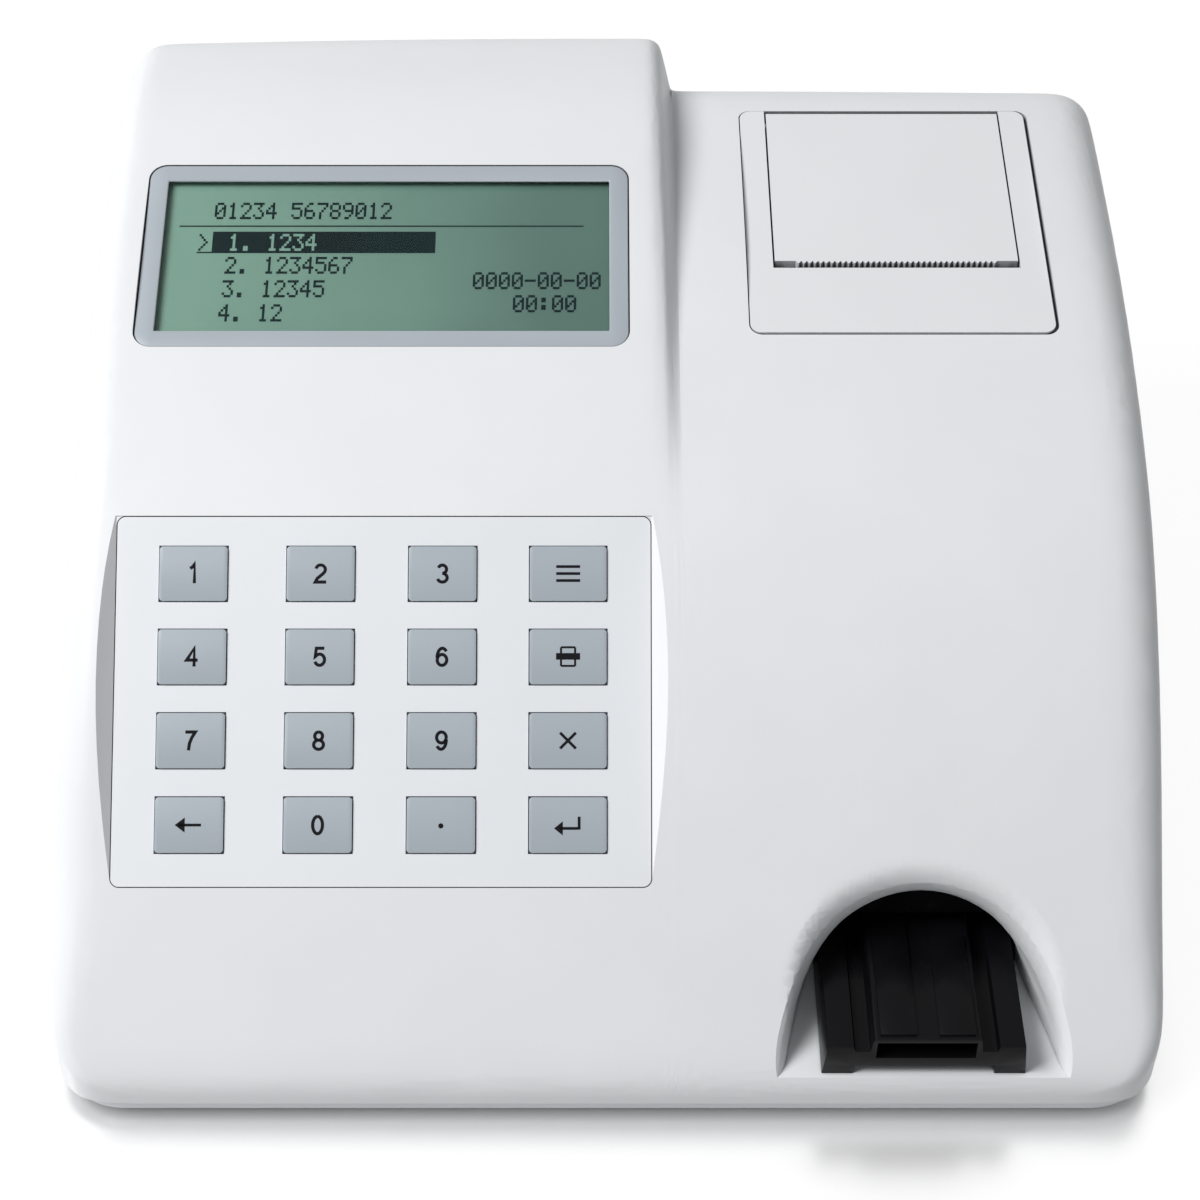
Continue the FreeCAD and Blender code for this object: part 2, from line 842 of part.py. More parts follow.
def seats():
    """For each framed opening of the casing: its plane, ledge frame, recess and through hole."""
    result = []
    gap = size("bezel_slot_gap")
    wide, long, corner = size("bezel_width"), size("bezel_length"), size("bezel_round")
    ledge, sink = size("ledge"), size("bezel_sink")
    floor = -sink - size("bezel_thick")
    result.append(
        (
            "display",
            rounded_prism(wide + 2 * ledge, long + 2 * ledge, -size("ledge_depth"), 3, corner + ledge),
            rounded_prism(wide + 2 * gap, long + 2 * gap, floor, 6, corner + gap),
            rounded_prism(wide - 2 * ledge, long - 2 * ledge, -20, 6, 1.0),
        )
    )
    gap = size("panel_gap")
    wide, long, corner = size("panel_width"), size("panel_length"), size("panel_round")
    result.append(
        (
            "keypad",
            rounded_prism(wide + 2 * ledge, long + 2 * ledge, -size("ledge_depth"), 6, corner + ledge),
            rounded_prism(wide + 2 * gap, long + 2 * gap, -size("panel_thick"), 6, corner + gap),
            rounded_prism(wide - 2 * ledge, long - 2 * ledge, -20, 6, 1.0),
        )
    )
    gap, gap_right = size("frame_gap"), size("frame_gap_right")
    wide, long, corner = size("frame_width"), size("frame_length"), size("frame_round")
    ledge = size("frame_ledge")
    recess = rounded_prism(wide + gap + gap_right, long + 2 * gap, -size("frame_thick"), 6, corner + gap)
    recess.translate(Vector((gap_right - gap) / 2, 0, 0))
    hole = rounded_prism(wide - 2 * ledge, long - ledge + gap, -20, 6, 1.0)
    hole.translate(Vector(0, (ledge + gap) / 2, 0))
    result.append(
        (
            "printer",
            rounded_prism(wide + 2 * ledge, long + 2 * ledge, -size("frame_ledge_depth"), 4, corner + ledge),
            recess,
            hole,
        )
    )
    return result


def top_casing():
    """Moulded upper casing: doubly curved skin, strip port, three framed openings and screw bosses."""
    outer = tunnel_solid(casing_net(size("seam_z")))
    cavity = cavity_solid()
    liner = size("liner_y")
    port = port_cutter(0.0, liner + 8)
    port_skin = port_cutter(size("port_wall"), liner)
    fillers = [port_skin]
    recesses = [port]
    for plane, frame, recess, hole in seats():
        fillers.append(tilted(frame, plane))
        recesses += [tilted(recess, plane), tilted(hole, plane)]
    recesses.append(tilted(keypad_scoop(), "keypad"))
    thread = size("screw_radius") + size("thread_gap")
    for x, y in casing_corners():
        foot = Vector(x, y, size("corner_post_top"))
        fillers.append(Part.makeCylinder(size("corner_post_radius"), size("crown_z"), foot))
        recesses.append(Part.makeCylinder(thread, size("screw_length"), foot))
    for filler in fillers:
        cavity = cavity.cut(filler)
    casing = outer.cut(cavity)
    half = size("rear_panel_width") / 2 + size("rear_gap")
    reach = size("rear_cut")
    corner = Vector(size("rear_panel_x") - half, size("depth") / 2 - reach / 2, 0)
    recesses.append(Part.makeBox(2 * half, reach, size("rear_panel_top") + size("rear_gap"), corner))
    for recess in recesses:
        casing = casing.cut(recess)
    return casing


def casing_corners():
    """Places of the four casing screws."""
    x = size("corner_x")
    front, back = size("corner_front_y"), size("corner_back_y")
    return [(-x, front), (x, front), (-x, back), (x, back)]


# ------------------------------------------------------------------------------------------ casing parts


def bottom_casing():
    """Shallow tray: floor, rim that locates the upper casing, posts for boards and guide, foot sockets."""
    body = new_body("bottom_casing")
    wide, long = "width - 2 * seam_inset", "depth - 2 * seam_inset"
    base = sketch_on(body, "XY_Plane", "base_outline", offset="foot_height")
    rectangle(base, wide, long)
    slab = pad(body, base, "seam_z - foot_height")
    round_edges(body, slab, "plan_round - seam_inset", upright)
    hollow = sketch_on(body, "XY_Plane", "hollow_outline", offset="foot_height + floor_thick")
    inner = "wall + rim_gap + rim_thick"
    rectangle(hollow, f"width - 2 * ({inner})", f"depth - 2 * ({inner})")
    pocket(body, hollow, "seam_z", up=True)
    rim = sketch_on(body, "XY_Plane", "rim_outline", offset="seam_z")
    middle = "wall + rim_gap + rim_thick / 2"
    for side in ("-", ""):
        rectangle(rim, "rim_thick", "depth - 2 * rim_corner", f"{side}(width / 2 - ({middle}))")
    rectangle(rim, "width - 2 * rim_corner", "rim_thick", y=f"depth / 2 - ({middle})")
    pad(body, rim, "rim_height")
    add_posts(body)
    add_sockets(body)
    return body


def add_posts(body):
    """Posts on the floor of the bottom casing for its screws and for the main board."""
    floor = "foot_height + floor_thick"
    corners = sketch_on(body, "XY_Plane", "corner_posts", offset=floor)
    for x in ("-corner_x", "corner_x"):
        for y in ("corner_front_y", "corner_back_y"):
            circle(corners, "corner_post_radius", x, y)
    pad(body, corners, f"corner_post_top - ({floor})")
    boards = sketch_on(body, "XY_Plane", "board_posts", offset=floor)
    for x, y in board_corners():
        circle(boards, "board_post_radius", x, y)
    pad(body, boards, f"board_z - ({floor})")
    holes = sketch_on(body, "XY_Plane", "board_holes", offset="board_z")
    for x, y in board_corners():
        circle(holes, "screw_radius + thread_gap", x, y)
    pocket(body, holes, "screw_length - board_thick - 4")


def add_sockets(body):
    """Foot sockets, screw clearance holes and the sunk seats of the screw heads, all from below."""
    pegs = sketch_on(body, "XY_Plane", "foot_sockets", offset="foot_height")
    for x in ("-foot_x", "foot_x"):
        for y in ("-foot_y", "foot_y"):
            circle(pegs, "foot_peg_radius + foot_peg_gap", x, y)
    pocket(body, pegs, "floor_thick", up=True)
    for name, radius, high in (
        ("screw_seats", "screw_head_radius + 0.3", "screw_seat_z"),
        ("screw_ways", "screw_radius + 0.2", "corner_post_top"),
    ):
        holes = sketch_on(body, "XY_Plane", name, offset="foot_height")
        for x in ("-corner_x", "corner_x"):
            for y in ("corner_front_y", "corner_back_y"):
                circle(holes, radius, x, y)
        pocket(body, holes, f"{high} - foot_height", up=True)


def board_corners():
    """Centres of the main board's four screws."""
    across, along = "(board_width / 2 - board_inset)", "(board_length / 2 - board_inset)"
    return [(f"board_x {a} {across}", f"board_y {b} {along}") for a in "-+" for b in "-+"]


def feet():
    """Four rubber feet with pegs that push into the floor."""
    pieces = []
    for x in ("-foot_x", "foot_x"):
        for y in ("-foot_y", "foot_y"):
            pad_piece = rod("foot_pad", "foot_radius", "foot_height", x, y, "0")
            peg = rod("foot_peg", "foot_peg_radius", "floor_thick - foot_peg_gap", x, y, "foot_height")
            pieces.append(join("foot", [pad_piece, peg]))
    node(group("feet", pieces), "feet")


def screw(x, y, seat, up):
    """Pan-head screw whose head rests on its seat; it points up or down."""
    head_z = f"{seat} - screw_head_height" if up else seat
    shank_z = seat if up else f"{seat} - screw_length"
    head = rod("screw_head", "screw_head_radius", "screw_head_height", x, y, head_z)
    shank = rod("screw_shank", "screw_radius", "screw_length", x, y, shank_z)
    if not up:
        bind(shank, Height="screw_length - 4", Placement__Base__z=f"{seat} - screw_length + 4")
    slot = block(
        "screw_slot", "3.6", "0.8", "0.9", x, y, head_z if up else f"{seat} + screw_head_height - 0.9",
    )
    return cut("screw", join("screw_blank", [head, shank]), [slot])


def screws():
    """Casing screws from below and board screws from above."""
    corners = [(x, y) for x in ("-corner_x", "corner_x") for y in ("corner_front_y", "corner_back_y")]
    node(group("casing_screws", [screw(x, y, "screw_seat_z", True) for x, y in corners]), "casing_screws")
    seat = "board_z + board_thick"
    node(group("board_screws", [screw(x, y, seat, False) for x, y in board_corners()]), "board_screws")


# ------------------------------------------------------------------------------------------ display


def display():
    """Bezel, clear window, display glass and its board, stacked in the display's tilted plane."""
    bezel = new_body("display_bezel")
    face = sketch_on(bezel, "XY_Plane", "bezel_outline", offset="-bezel_sink - bezel_thick")
    rectangle(face, "bezel_width", "bezel_length")
    slab = pad(bezel, face, "bezel_thick")
    round_edges(bezel, slab, "bezel_round", upright)
    opening = sketch_on(bezel, "XY_Plane", "bezel_opening", offset="-bezel_sink")
    rectangle(opening, "bezel_width - 2 * bezel_face", "bezel_length - 2 * bezel_face")
    pocket(bezel, opening, "bezel_thick")
    seat = sketch_on(bezel, "XY_Plane", "window_seat", offset="-bezel_sink - bezel_thick")
    lap = "bezel_face - window_lap"
    rectangle(seat, f"bezel_width - 2 * ({lap})", f"bezel_length - 2 * ({lap})")
    pocket(bezel, seat, "bezel_thick - window_sink", up=True)
    stack_plane(bezel)

    sink = "bezel_sink + window_sink"
    stack_plate("display_window", f"{sink} + window_thick", "window_thick", f"{lap} + window_gap")
    glass_drop = f"{sink} + window_thick + glass_thick"
    stack_plate("display_glass", glass_drop, "glass_thick", "bezel_face + glass_lap")
    stack_plate("display_board", f"{glass_drop} + board_thick", "board_thick", "bezel_face + 0.3")


def stack_plane(body):
    """Put a piece of the display stack in the machine."""
    place(body, "display_x", "display_y", "display_z", "display_tilt")


def stack_plate(label, drop, thick, inset):
    """Flat plate of the display stack, inset all round from the bezel's outline."""
    body = new_body(label)
    plate = sketch_on(body, "XY_Plane", label + "_outline", offset=f"-({drop})")
    rectangle(plate, f"bezel_width - 2 * ({inset})", f"bezel_length - 2 * ({inset})")
    pad(body, plate, thick)
    stack_plane(body)
    return body


# ------------------------------------------------------------------------------------------ keypad


def key_place(column, row):
    """Centre of a key in the keypad's plane."""
    return f"key_column_{column}", f"key_row_shift + ({(KEY_ROWS + 1) / 2} - {row}) * key_pitch"


def key_size(column):
    """Width of the keys of one column."""
    return "key_wide" if column == WIDE_COLUMN else "key_width"


def keypad_posts():
    """Places of the posts that carry the keypad's board."""
    across, along = "(keypad_board_width / 2 - keypad_post_radius)", "(keypad_board_length / 2 - 3)"
    return [(f"{a}{across}", f"{b}{along}") for a in ("-", "") for b in ("-", "")]


def keypad_panel():
    """Flat front panel with a window for each key and posts behind it."""
    body = new_body("keypad_panel")
    face = sketch_on(body, "XY_Plane", "panel_outline", offset="-panel_thick")
    rectangle(face, "panel_width", "panel_length")
    slab = pad(body, face, "panel_thick")
    round_edges(body, slab, "panel_round", upright)
    posts = sketch_on(body, "XY_Plane", "panel_posts", offset="-panel_thick")
    for x, y in keypad_posts():
        circle(posts, "keypad_post_radius", x, y)
    pad(body, posts, "keypad_board_drop - panel_thick", down=True)
    windows = sketch_on(body, "XY_Plane", "key_windows")
    for _, column, row in KEYS:
        x, y = key_place(column, row)
        rectangle(windows, f"{key_size(column)} + 2 * key_gap", "key_length + 2 * key_gap", x, y)
    pocket(body, windows, "panel_thick")
    place(body, "keypad_x", "keypad_y", "keypad_z", "keypad_tilt")


def key(label, column, row):
    """Key cap with the flange that holds it behind the panel and the stem that works its dome."""
    body = new_body(label)
    x, y = key_place(column, row)
    cap = sketch_on(body, "XY_Plane", label + "_cap", x, y, offset="-panel_thick")
    rectangle(cap, key_size(column), "key_length")
    block_pad = pad(body, cap, "panel_thick + key_proud")
    round_edges(body, block_pad, "key_round", upright)
    flange = sketch_on(body, "XY_Plane", label + "_flange", x, y, offset="-panel_thick")
    rectangle(flange, f"{key_size(column)} + 2 * key_flange", "key_length + 2 * key_flange")
    pad(body, flange, "key_flange_thick", down=True)
    stem = sketch_on(body, "XY_Plane", label + "_stem", x, y, offset="-panel_thick - key_flange_thick")
    rectangle(stem, "key_stem", "key_stem")
    room = "keypad_board_drop - dome_height - key_travel - dome_gap"
    pad(body, stem, f"{room} - panel_thick - key_flange_thick", down=True)
    place(body, "keypad_x", "keypad_y", "keypad_z", "keypad_tilt")


def keypad_board():
    """Board behind the keys and the snap domes on it."""
    body = new_body("keypad_board")
    plate = sketch_on(body, "XY_Plane", "keypad_board_outline", offset="-keypad_board_drop")
    rectangle(plate, "keypad_board_width", "keypad_board_length")
    pad(body, plate, "board_thick", down=True)
    place(body, "keypad_x", "keypad_y", "keypad_z", "keypad_tilt")
    domes = []
    for _, column, row in KEYS:
        x, y = key_place(column, row)
        domes.append(rod("dome", "dome_radius", "dome_height", x, y, "-keypad_board_drop"))
    place(node(group("key_domes", domes), "key_domes"), "keypad_x", "keypad_y", "keypad_z", "keypad_tilt")


# ------------------------------------------------------------------------------------------ strip carriage


def platform_profile():
    """Front profile of the strip platform, from its right foot round to its left one."""
    right = [
        ("platform_half - platform_foot_width", "0"),
        ("platform_half", "0"),
        ("platform_half - platform_draft", "shoulder_height"),
        ("shoulder_inner", "shoulder_height"),
        ("groove_outer", "groove_height"),
        ("groove_inner", "groove_height"),
        ("bar_half", "bar_height"),
    ]
    left = [(f"-({x})", z) for x, z in reversed(right)]
    arch = "platform_half - platform_foot_width - 0.3"
    return right + left + [(f"-({arch})", "platform_foot_height"), (arch, "platform_foot_height")]


def strip_platform():
    """Sliding block that carries the strip: feet, shoulders, grooves, a raised bar and a grip slot."""
    body = new_body("strip_platform")
    back = "platform_front + platform_length"
    profile = sketch_on(body, "XZ_Plane", "platform_profile", "port_x", "port_floor", f"-({back})")
    outline(profile, platform_profile())
    bar = pad(body, profile, "platform_length")
    round_edges(body, bar, "bar_round", bar_edge)
    top = "port_floor + bar_height"
    pads = sketch_on(body, "XY_Plane", "pad_outline", "port_x", "platform_front", top)
    wide = "(bar_half - strip_channel / 2 - pad_margin)"
    for side in ("-", ""):
        middle = f"{side}(strip_channel / 2 + {wide} / 2)"
        rectangle(pads, wide, "pad_length - bar_round", middle, "(pad_length + bar_round) / 2")
    pad(body, pads, "pad_height")
    channel = sketch_on(body, "XY_Plane", "channel_outline", "port_x", "platform_front + pad_length", top)
    long = "channel_length - pad_length"
    rectangle(channel, "strip_channel", long, y=f"({long}) / 2")
    pocket(body, channel, "channel_depth")
    depth = "-(platform_front + grip_slot_depth)"
    slot = sketch_on(body, "XZ_Plane", "grip_slot", "port_x", "port_floor + grip_slot_z", depth)
    rectangle(slot, "grip_slot_width", "grip_slot_height", y="grip_slot_height / 2")
    pocket(body, slot, "grip_slot_depth", up=True)


def bar_edge(edge):
    """True for the two long top edges of the raised bar."""
    box = edge.BoundBox
    level = size("port_floor") + size("bar_height")
    whole_length = box.YLength > size("platform_length") - 1
    return whole_length and abs(box.ZMax - level) < 0.01 and abs(box.ZMin - level) < 0.01


def rack_points(length):
    """Tooth outline of the rack along its length, as distance along and height above the pitch line."""
    module = size("gear_module")
    pitch = math.pi * module
    lean = math.tan(math.radians(20))
    top, root = module, -1.25 * module
    half = pitch / 4 - size("gear_backlash") / 2
    count = int(length / pitch)
    points = []
    for i in range(count):
        middle = (i + 0.5) * pitch + (length - count * pitch) / 2
        points += [
            (middle - half + root * lean, root),
            (middle - half + top * lean, top),
            (middle + half - top * lean, top),
            (middle + half - root * lean, root),
        ]
    return points


def carriage_rack():
    """Toothed rack on the right shoulder of the platform."""
    length, depth = size("rack_length"), size("rack_depth")
    start, low = size("rack_start"), size("port_floor") + size("shoulder_height")
    pitch_x = size("port_x") + size("rack_pitch_x")
    teeth = [Vector(pitch_x + out, start + along, low) for along, out in rack_points(length)]
    root = pitch_x - 1.25 * size("gear_module")
    back = pitch_x - 1.25 * size("gear_module") - depth
    ring = [Vector(back, start, low), Vector(root, start, low)] + teeth
    ring += [Vector(root, start + length, low), Vector(back, start + length, low), Vector(back, start, low)]
    formed(Part.Face(Part.makePolygon(ring)).extrude(Vector(0, 0, size("rack_height"))), "carriage_rack")


def rack_tooth_y():
    """Middle of the rack's first tooth."""
    pitch = math.pi * size("gear_module")
    length = size("rack_length")
    return size("rack_start") + (length - int(length / pitch) * pitch) / 2 + pitch / 2


def pinion_axis():
    """Place of the pinion's axis, a hair off the pitch line."""
    radius = size("gear_module") * size("pinion_teeth") / 2
    return size("port_x") + size("rack_pitch_x") + radius, size("pinion_y")


def involute(base, roll):
    """Point of the involute of a circle after rolling by an angle."""
    x = base * (math.cos(roll) + roll * math.sin(roll))
    y = base * (math.sin(roll) - roll * math.cos(roll))
    return x, y


def gear_face(teeth, module, turn):
    """Outline of a spur gear with involute flanks; a tooth points along +X after the turn."""
    pitch_r = teeth * module / 2
    base_r = pitch_r * math.cos(math.radians(20))
    top_r, root_r = pitch_r + module, pitch_r - 1.25 * module
    flare = math.tan(math.radians(20)) - math.radians(20)
    half = math.pi / (2 * teeth) - size("gear_backlash") / (2 * pitch_r) + flare
    tip_roll = math.sqrt((top_r / base_r) ** 2 - 1)
    flank = [(root_r, half)]
    for share in (0.0, 0.5, 0.78, 1.0):
        x, y = involute(base_r, tip_roll * share)
        flank.append((math.hypot(x, y), half - math.atan2(y, x)))
    points = []
    for i in range(teeth):
        middle = turn + 2 * math.pi * i / teeth
        points += [(radius, middle - lean) for radius, lean in flank]
        points += [(radius, middle + lean) for radius, lean in reversed(flank)]
    ring = [Vector(radius * math.cos(angle), radius * math.sin(angle), 0) for radius, angle in points]
    return Part.Face(Part.makePolygon(ring + ring[:1]))


def drive_pinion():
    """Pinion and shaft of the carriage motor, in mesh with the rack at rest."""
    x, y = pinion_axis()
    teeth, module = int(size("pinion_teeth")), size("gear_module")
    pitch = math.pi * module
    gap = ((y - rack_tooth_y()) / pitch) % 1.0
    turn = math.pi + (gap - 0.5) * 2 * math.pi / teeth
    low = size("port_floor") + size("shoulder_height") + size("pinion_lift")
    high = size("pinion_height")
    gear = gear_face(teeth, module, turn).extrude(Vector(0, 0, high))
    gear.translate(Vector(x, y, low))
    bore = Part.makeCylinder(size("shaft_radius"), high, Vector(x, y, low))
    formed(gear.cut(bore), "drive_pinion")
    top = size("bracket_z") + size("bracket_thick") + size("motor_height")
    node(rod("motor_shaft", "shaft_radius", str(top - low + 1.5), str(x), str(y), str(low)), "motor_shaft")


def carriage_guide():
    """Deck and rails that the platform slides on, with legs down to the floor."""
    floor = "foot_height + floor_thick"
    start = "liner_y + liner_thick"
    half = "platform_half + rail_gap + rail_thick + deck_margin"
    deck = span(
        "guide_deck", f"port_x - ({half})", f"port_x + {half}", start, "guide_back",
        "port_floor - guide_thick", "port_floor",
    )
    pieces = [deck]
    inner = "platform_half + rail_gap"
    for sign in ("-", "+"):
        edges = [f"port_x {sign} ({inner})", f"port_x {sign} ({inner} + rail_thick)"]
        low_x, high_x = edges if sign == "+" else edges[::-1]
        pieces.append(
            span("guide_rail", low_x, high_x, start, "guide_back", "port_floor", "port_floor + rail_height"),
        )
        x = f"port_x {sign} (({half}) - guide_leg / 2)"
        high = f"port_floor - guide_thick - ({floor})"
        for y in (f"{start} + guide_leg / 2 + 2", "(liner_y + guide_back) / 2", "guide_back - guide_leg / 2"):
            pieces.append(block("guide_leg", "guide_leg", "guide_leg", high, x, y, floor))
    node(join("carriage_guide", pieces), "carriage_guide")


def port_liner():
    """Black frame behind the strip port; the platform passes through its opening."""
    floor = "foot_height + floor_thick"
    half = "liner_half_width"
    plate = span(
        "liner_plate", f"port_x - {half}", f"port_x + {half}", "liner_y", "liner_y + liner_thick", floor,
        "liner_top",
    )
    way_half = "platform_half + rail_gap"
    way = span(
        "liner_way", f"port_x - ({way_half})", f"port_x + {way_half}", "liner_y - 1",
        "liner_y + liner_thick + 1", "port_floor", "liner_roof",
    )
    doc.recompute()
    soft = doc.addObject("Part::Chamfer", "liner_way_chamfer")
    soft.Base = way
    bevel = size("liner_chamfer")
    for i, edge in enumerate(way.Shape.Edges, start=1):
        box = edge.BoundBox
        if box.YLength > size("liner_thick") and box.ZMin > size("liner_roof") - 1:
            soft.Edges = soft.Edges + [(i, bevel, bevel)]
    node(cut("port_liner", plate, [soft]), "port_liner")


def carriage_motor():
    """Stepper motor above the pinion and the folded bracket that holds it."""
    x, y = (str(number) for number in pinion_axis())
    top = "bracket_z + bracket_thick"
    can = rod("motor_can", "motor_radius", "motor_height", x, y, top)
    bore = rod("motor_bore", "shaft_radius + shaft_gap", "motor_height + 2", x, y, f"{top} - 1")
    node(cut("carriage_motor", can, [bore]), "carriage_motor")
    floor = "foot_height + floor_thick"
    far = f"{x} + bracket_reach + bracket_thick"
    plate = span(
        "bracket_plate", f"{x} - bracket_side / 2 + 2", far, f"{y} - bracket_side / 2",
        f"{y} + bracket_side / 2", "bracket_z", top,
    )
    web = span(
        "bracket_web", f"{x} + bracket_reach", far, f"{y} - bracket_side / 2", f"{y} + bracket_side / 2",
        floor, top,
    )
    foot = span(
        "bracket_foot", f"{x} + bracket_reach - 9", far, f"{y} - bracket_side / 2",
        f"{y} + bracket_side / 2", floor, f"{floor} + bracket_thick",
    )
    hole = rod("bracket_hole", "motor_boss_radius", "10", x, y, "bracket_z - 5")
    node(cut("motor_bracket", join("bracket_blank", [plate, web, foot]), [hole]), "motor_bracket")


def optics():
    """Reading head that bridges the carriage, its board, its lens and the reference tile."""
    outer = "platform_half + rail_gap + rail_thick + deck_margin"
    inner = "platform_half + rail_gap + rail_thick + 0.4"
    back = "optics_front + optics_length"
    roof = "optics_roof"
    body = span(
        "optics_block", f"port_x - ({outer})", f"port_x + {outer}", "optics_front", back, roof,
        f"{roof} + optics_height",
    )
    legs = []
    for sign in ("-", "+"):
        edges = [f"port_x {sign} ({inner})", f"port_x {sign} ({outer})"]
        low_x, high_x = edges if sign == "+" else edges[::-1]
        legs.append(span("optics_leg", low_x, high_x, "optics_front", back, "port_floor", roof))
    middle = "optics_front + optics_length / 2"
    barrel = rod("lens_bore", "lens_radius + 0.1", "lens_length", "port_x", middle, roof)
    sight = rod("sight_bore", "lens_radius - 1", "optics_height + 2", "port_x", middle, f"{roof} - 1")
    node(cut("optical_head", join("optics_blank", [body] + legs), [barrel, sight]), "optical_head")
    node(rod("lens", "lens_radius", "lens_length", "port_x", middle, roof), "lens")
    board = block("sensor_board", "42", "30", "board_thick", "port_x", middle, f"{roof} + optics_height")
    node(board, "sensor_board")
    tile = block(
        "reference_tile", "strip_channel - 0.3", "reference_length", "channel_depth - 0.1", "port_x",
        "platform_front + channel_length - reference_length", "port_floor + bar_height - channel_depth",
    )
    node(tile, "reference_tile")


# ------------------------------------------------------------------------------------------ electronics


def main_board():
    """Main board on its posts, with the larger parts soldered to it."""
    plate = block("main_plate", "board_width", "board_length", "board_thick", "board_x", "board_y", "board_z")
    holes = []
    for x, y in board_corners():
        holes.append(rod("main_hole", "screw_radius + 0.15", "board_thick + 2", x, y, "board_z - 1"))
    node(cut("main_board", plate, holes), "main_board")
    top = "board_z + board_thick"
    pieces = []
    for name, across, along, high, x, y in BOARD_BLOCKS:
        pieces.append(
            block(name, str(across), str(along), str(high), f"board_x + {x}", f"board_y + {y}", top),
        )
    for name, radius, high, x, y in BOARD_ROUNDS:
        pieces.append(rod(name, str(radius), str(high), f"board_x + {x}", f"board_y + {y}", top))
    node(group("board_components", pieces), "board_components")


def ribbon(x, width, path):
    """Flat cable, bent along a path of y and z."""
    thick = size("ribbon_thick")
    low = [Vector(x - width / 2, y, z) for y, z in path]
    high = [Vector(x - width / 2, y + thick, z + thick) for y, z in reversed(path)]
    return Part.Face(Part.makePolygon(low + high + low[:1])).extrude(Vector(width, 0, 0))


def under_board(plane, drop, along):
    """Point in y and z under a tilted board, a hair off its back face."""
    tilt = math.radians(size(plane + "_tilt"))
    down = drop + size("ribbon_thick") + 0.1
    y = size(plane + "_y") + along * math.cos(tilt) + down * math.sin(tilt)
    return y, size(plane + "_z") + along * math.sin(tilt) - down * math.cos(tilt)


def ribbon_cables():
    """Flat cables from the main board's header up to the display's board and the keypad's board."""
    _, across, _, high, header_x, header_y = next(row for row in BOARD_BLOCKS if row[0] == "ribbon_header")
    x, y = size("board_x") + header_x, size("board_y") + header_y
    start = size("board_z") + size("board_thick") + high
    slack, width = size("ribbon_slack"), size("ribbon_width")
    end_y, end_z = under_board("display", value(DISPLAY_STACK), 0.3 * size("bezel_length"))
    loop = [
        (y, start), (y, start + 3 * slack), (end_y + slack, start + 5 * slack), (end_y, start + 7 * slack),
    ]
    display_cable = ribbon(x - across / 4, width, loop + [(end_y, end_z)])
    end_y, end_z = under_board(
        "keypad", value("keypad_board_drop + board_thick"), 0.4 * size("keypad_board_length"),
    )
    bend = [(y, start), (y, start + 2 * slack), (end_y + slack, end_z - 2 * slack)]
    keypad_cable = ribbon(x + across / 4, width, bend + [(end_y, end_z)])
    formed(Part.makeCompound([display_cable, keypad_cable]), "ribbon_cables")


def rear_inner():
    """Inner face of the casing's back wall."""
    return "depth / 2 - wall"


def rear_panel():
    """Connector panel that fills the notch in the back wall, with a flange behind the wall's edges."""
    outer_y = "depth / 2 - rear_panel_sink"
    half = "rear_panel_width / 2"
    plate = span(
        "panel_plate", f"rear_panel_x - {half}", f"rear_panel_x + {half}", rear_inner(), outer_y,
        "seam_z + 0.2", "rear_panel_top",
    )
    flange = span(
        "panel_flange", f"rear_panel_x - {half} - rear_flange", f"rear_panel_x + {half} + rear_flange",
        f"{rear_inner()} - rear_flange_thick", rear_inner(), "seam_z + rim_height + 0.3",
        "rear_panel_top + rear_flange",
    )
    holes = [
        panel_hole("switch_x", "switch_width", "switch_height"),
        panel_hole("inlet_x", "inlet_width", "inlet_height"),
        rod(
            "scanner_hole", "scanner_radius + connector_gap", "rear_cut", "scanner_x",
            "depth / 2 - rear_cut / 2", "connector_z", along="y",
        ),
        panel_hole("serial_x", "serial_width", "dsub_height"),
        panel_hole("printer_port_x", "printer_port_width", "dsub_height"),
    ]
    node(cut("rear_panel", join("rear_blank", [plate, flange]), holes), "rear_panel")


def panel_hole(x, across, high):
    """Opening in the rear panel round one connector."""
    return block(
        "panel_hole", f"{across} + 2 * connector_gap", "rear_cut", f"{high} + 2 * connector_gap", x,
        "depth / 2", f"connector_z - {high} / 2 - connector_gap",
    )


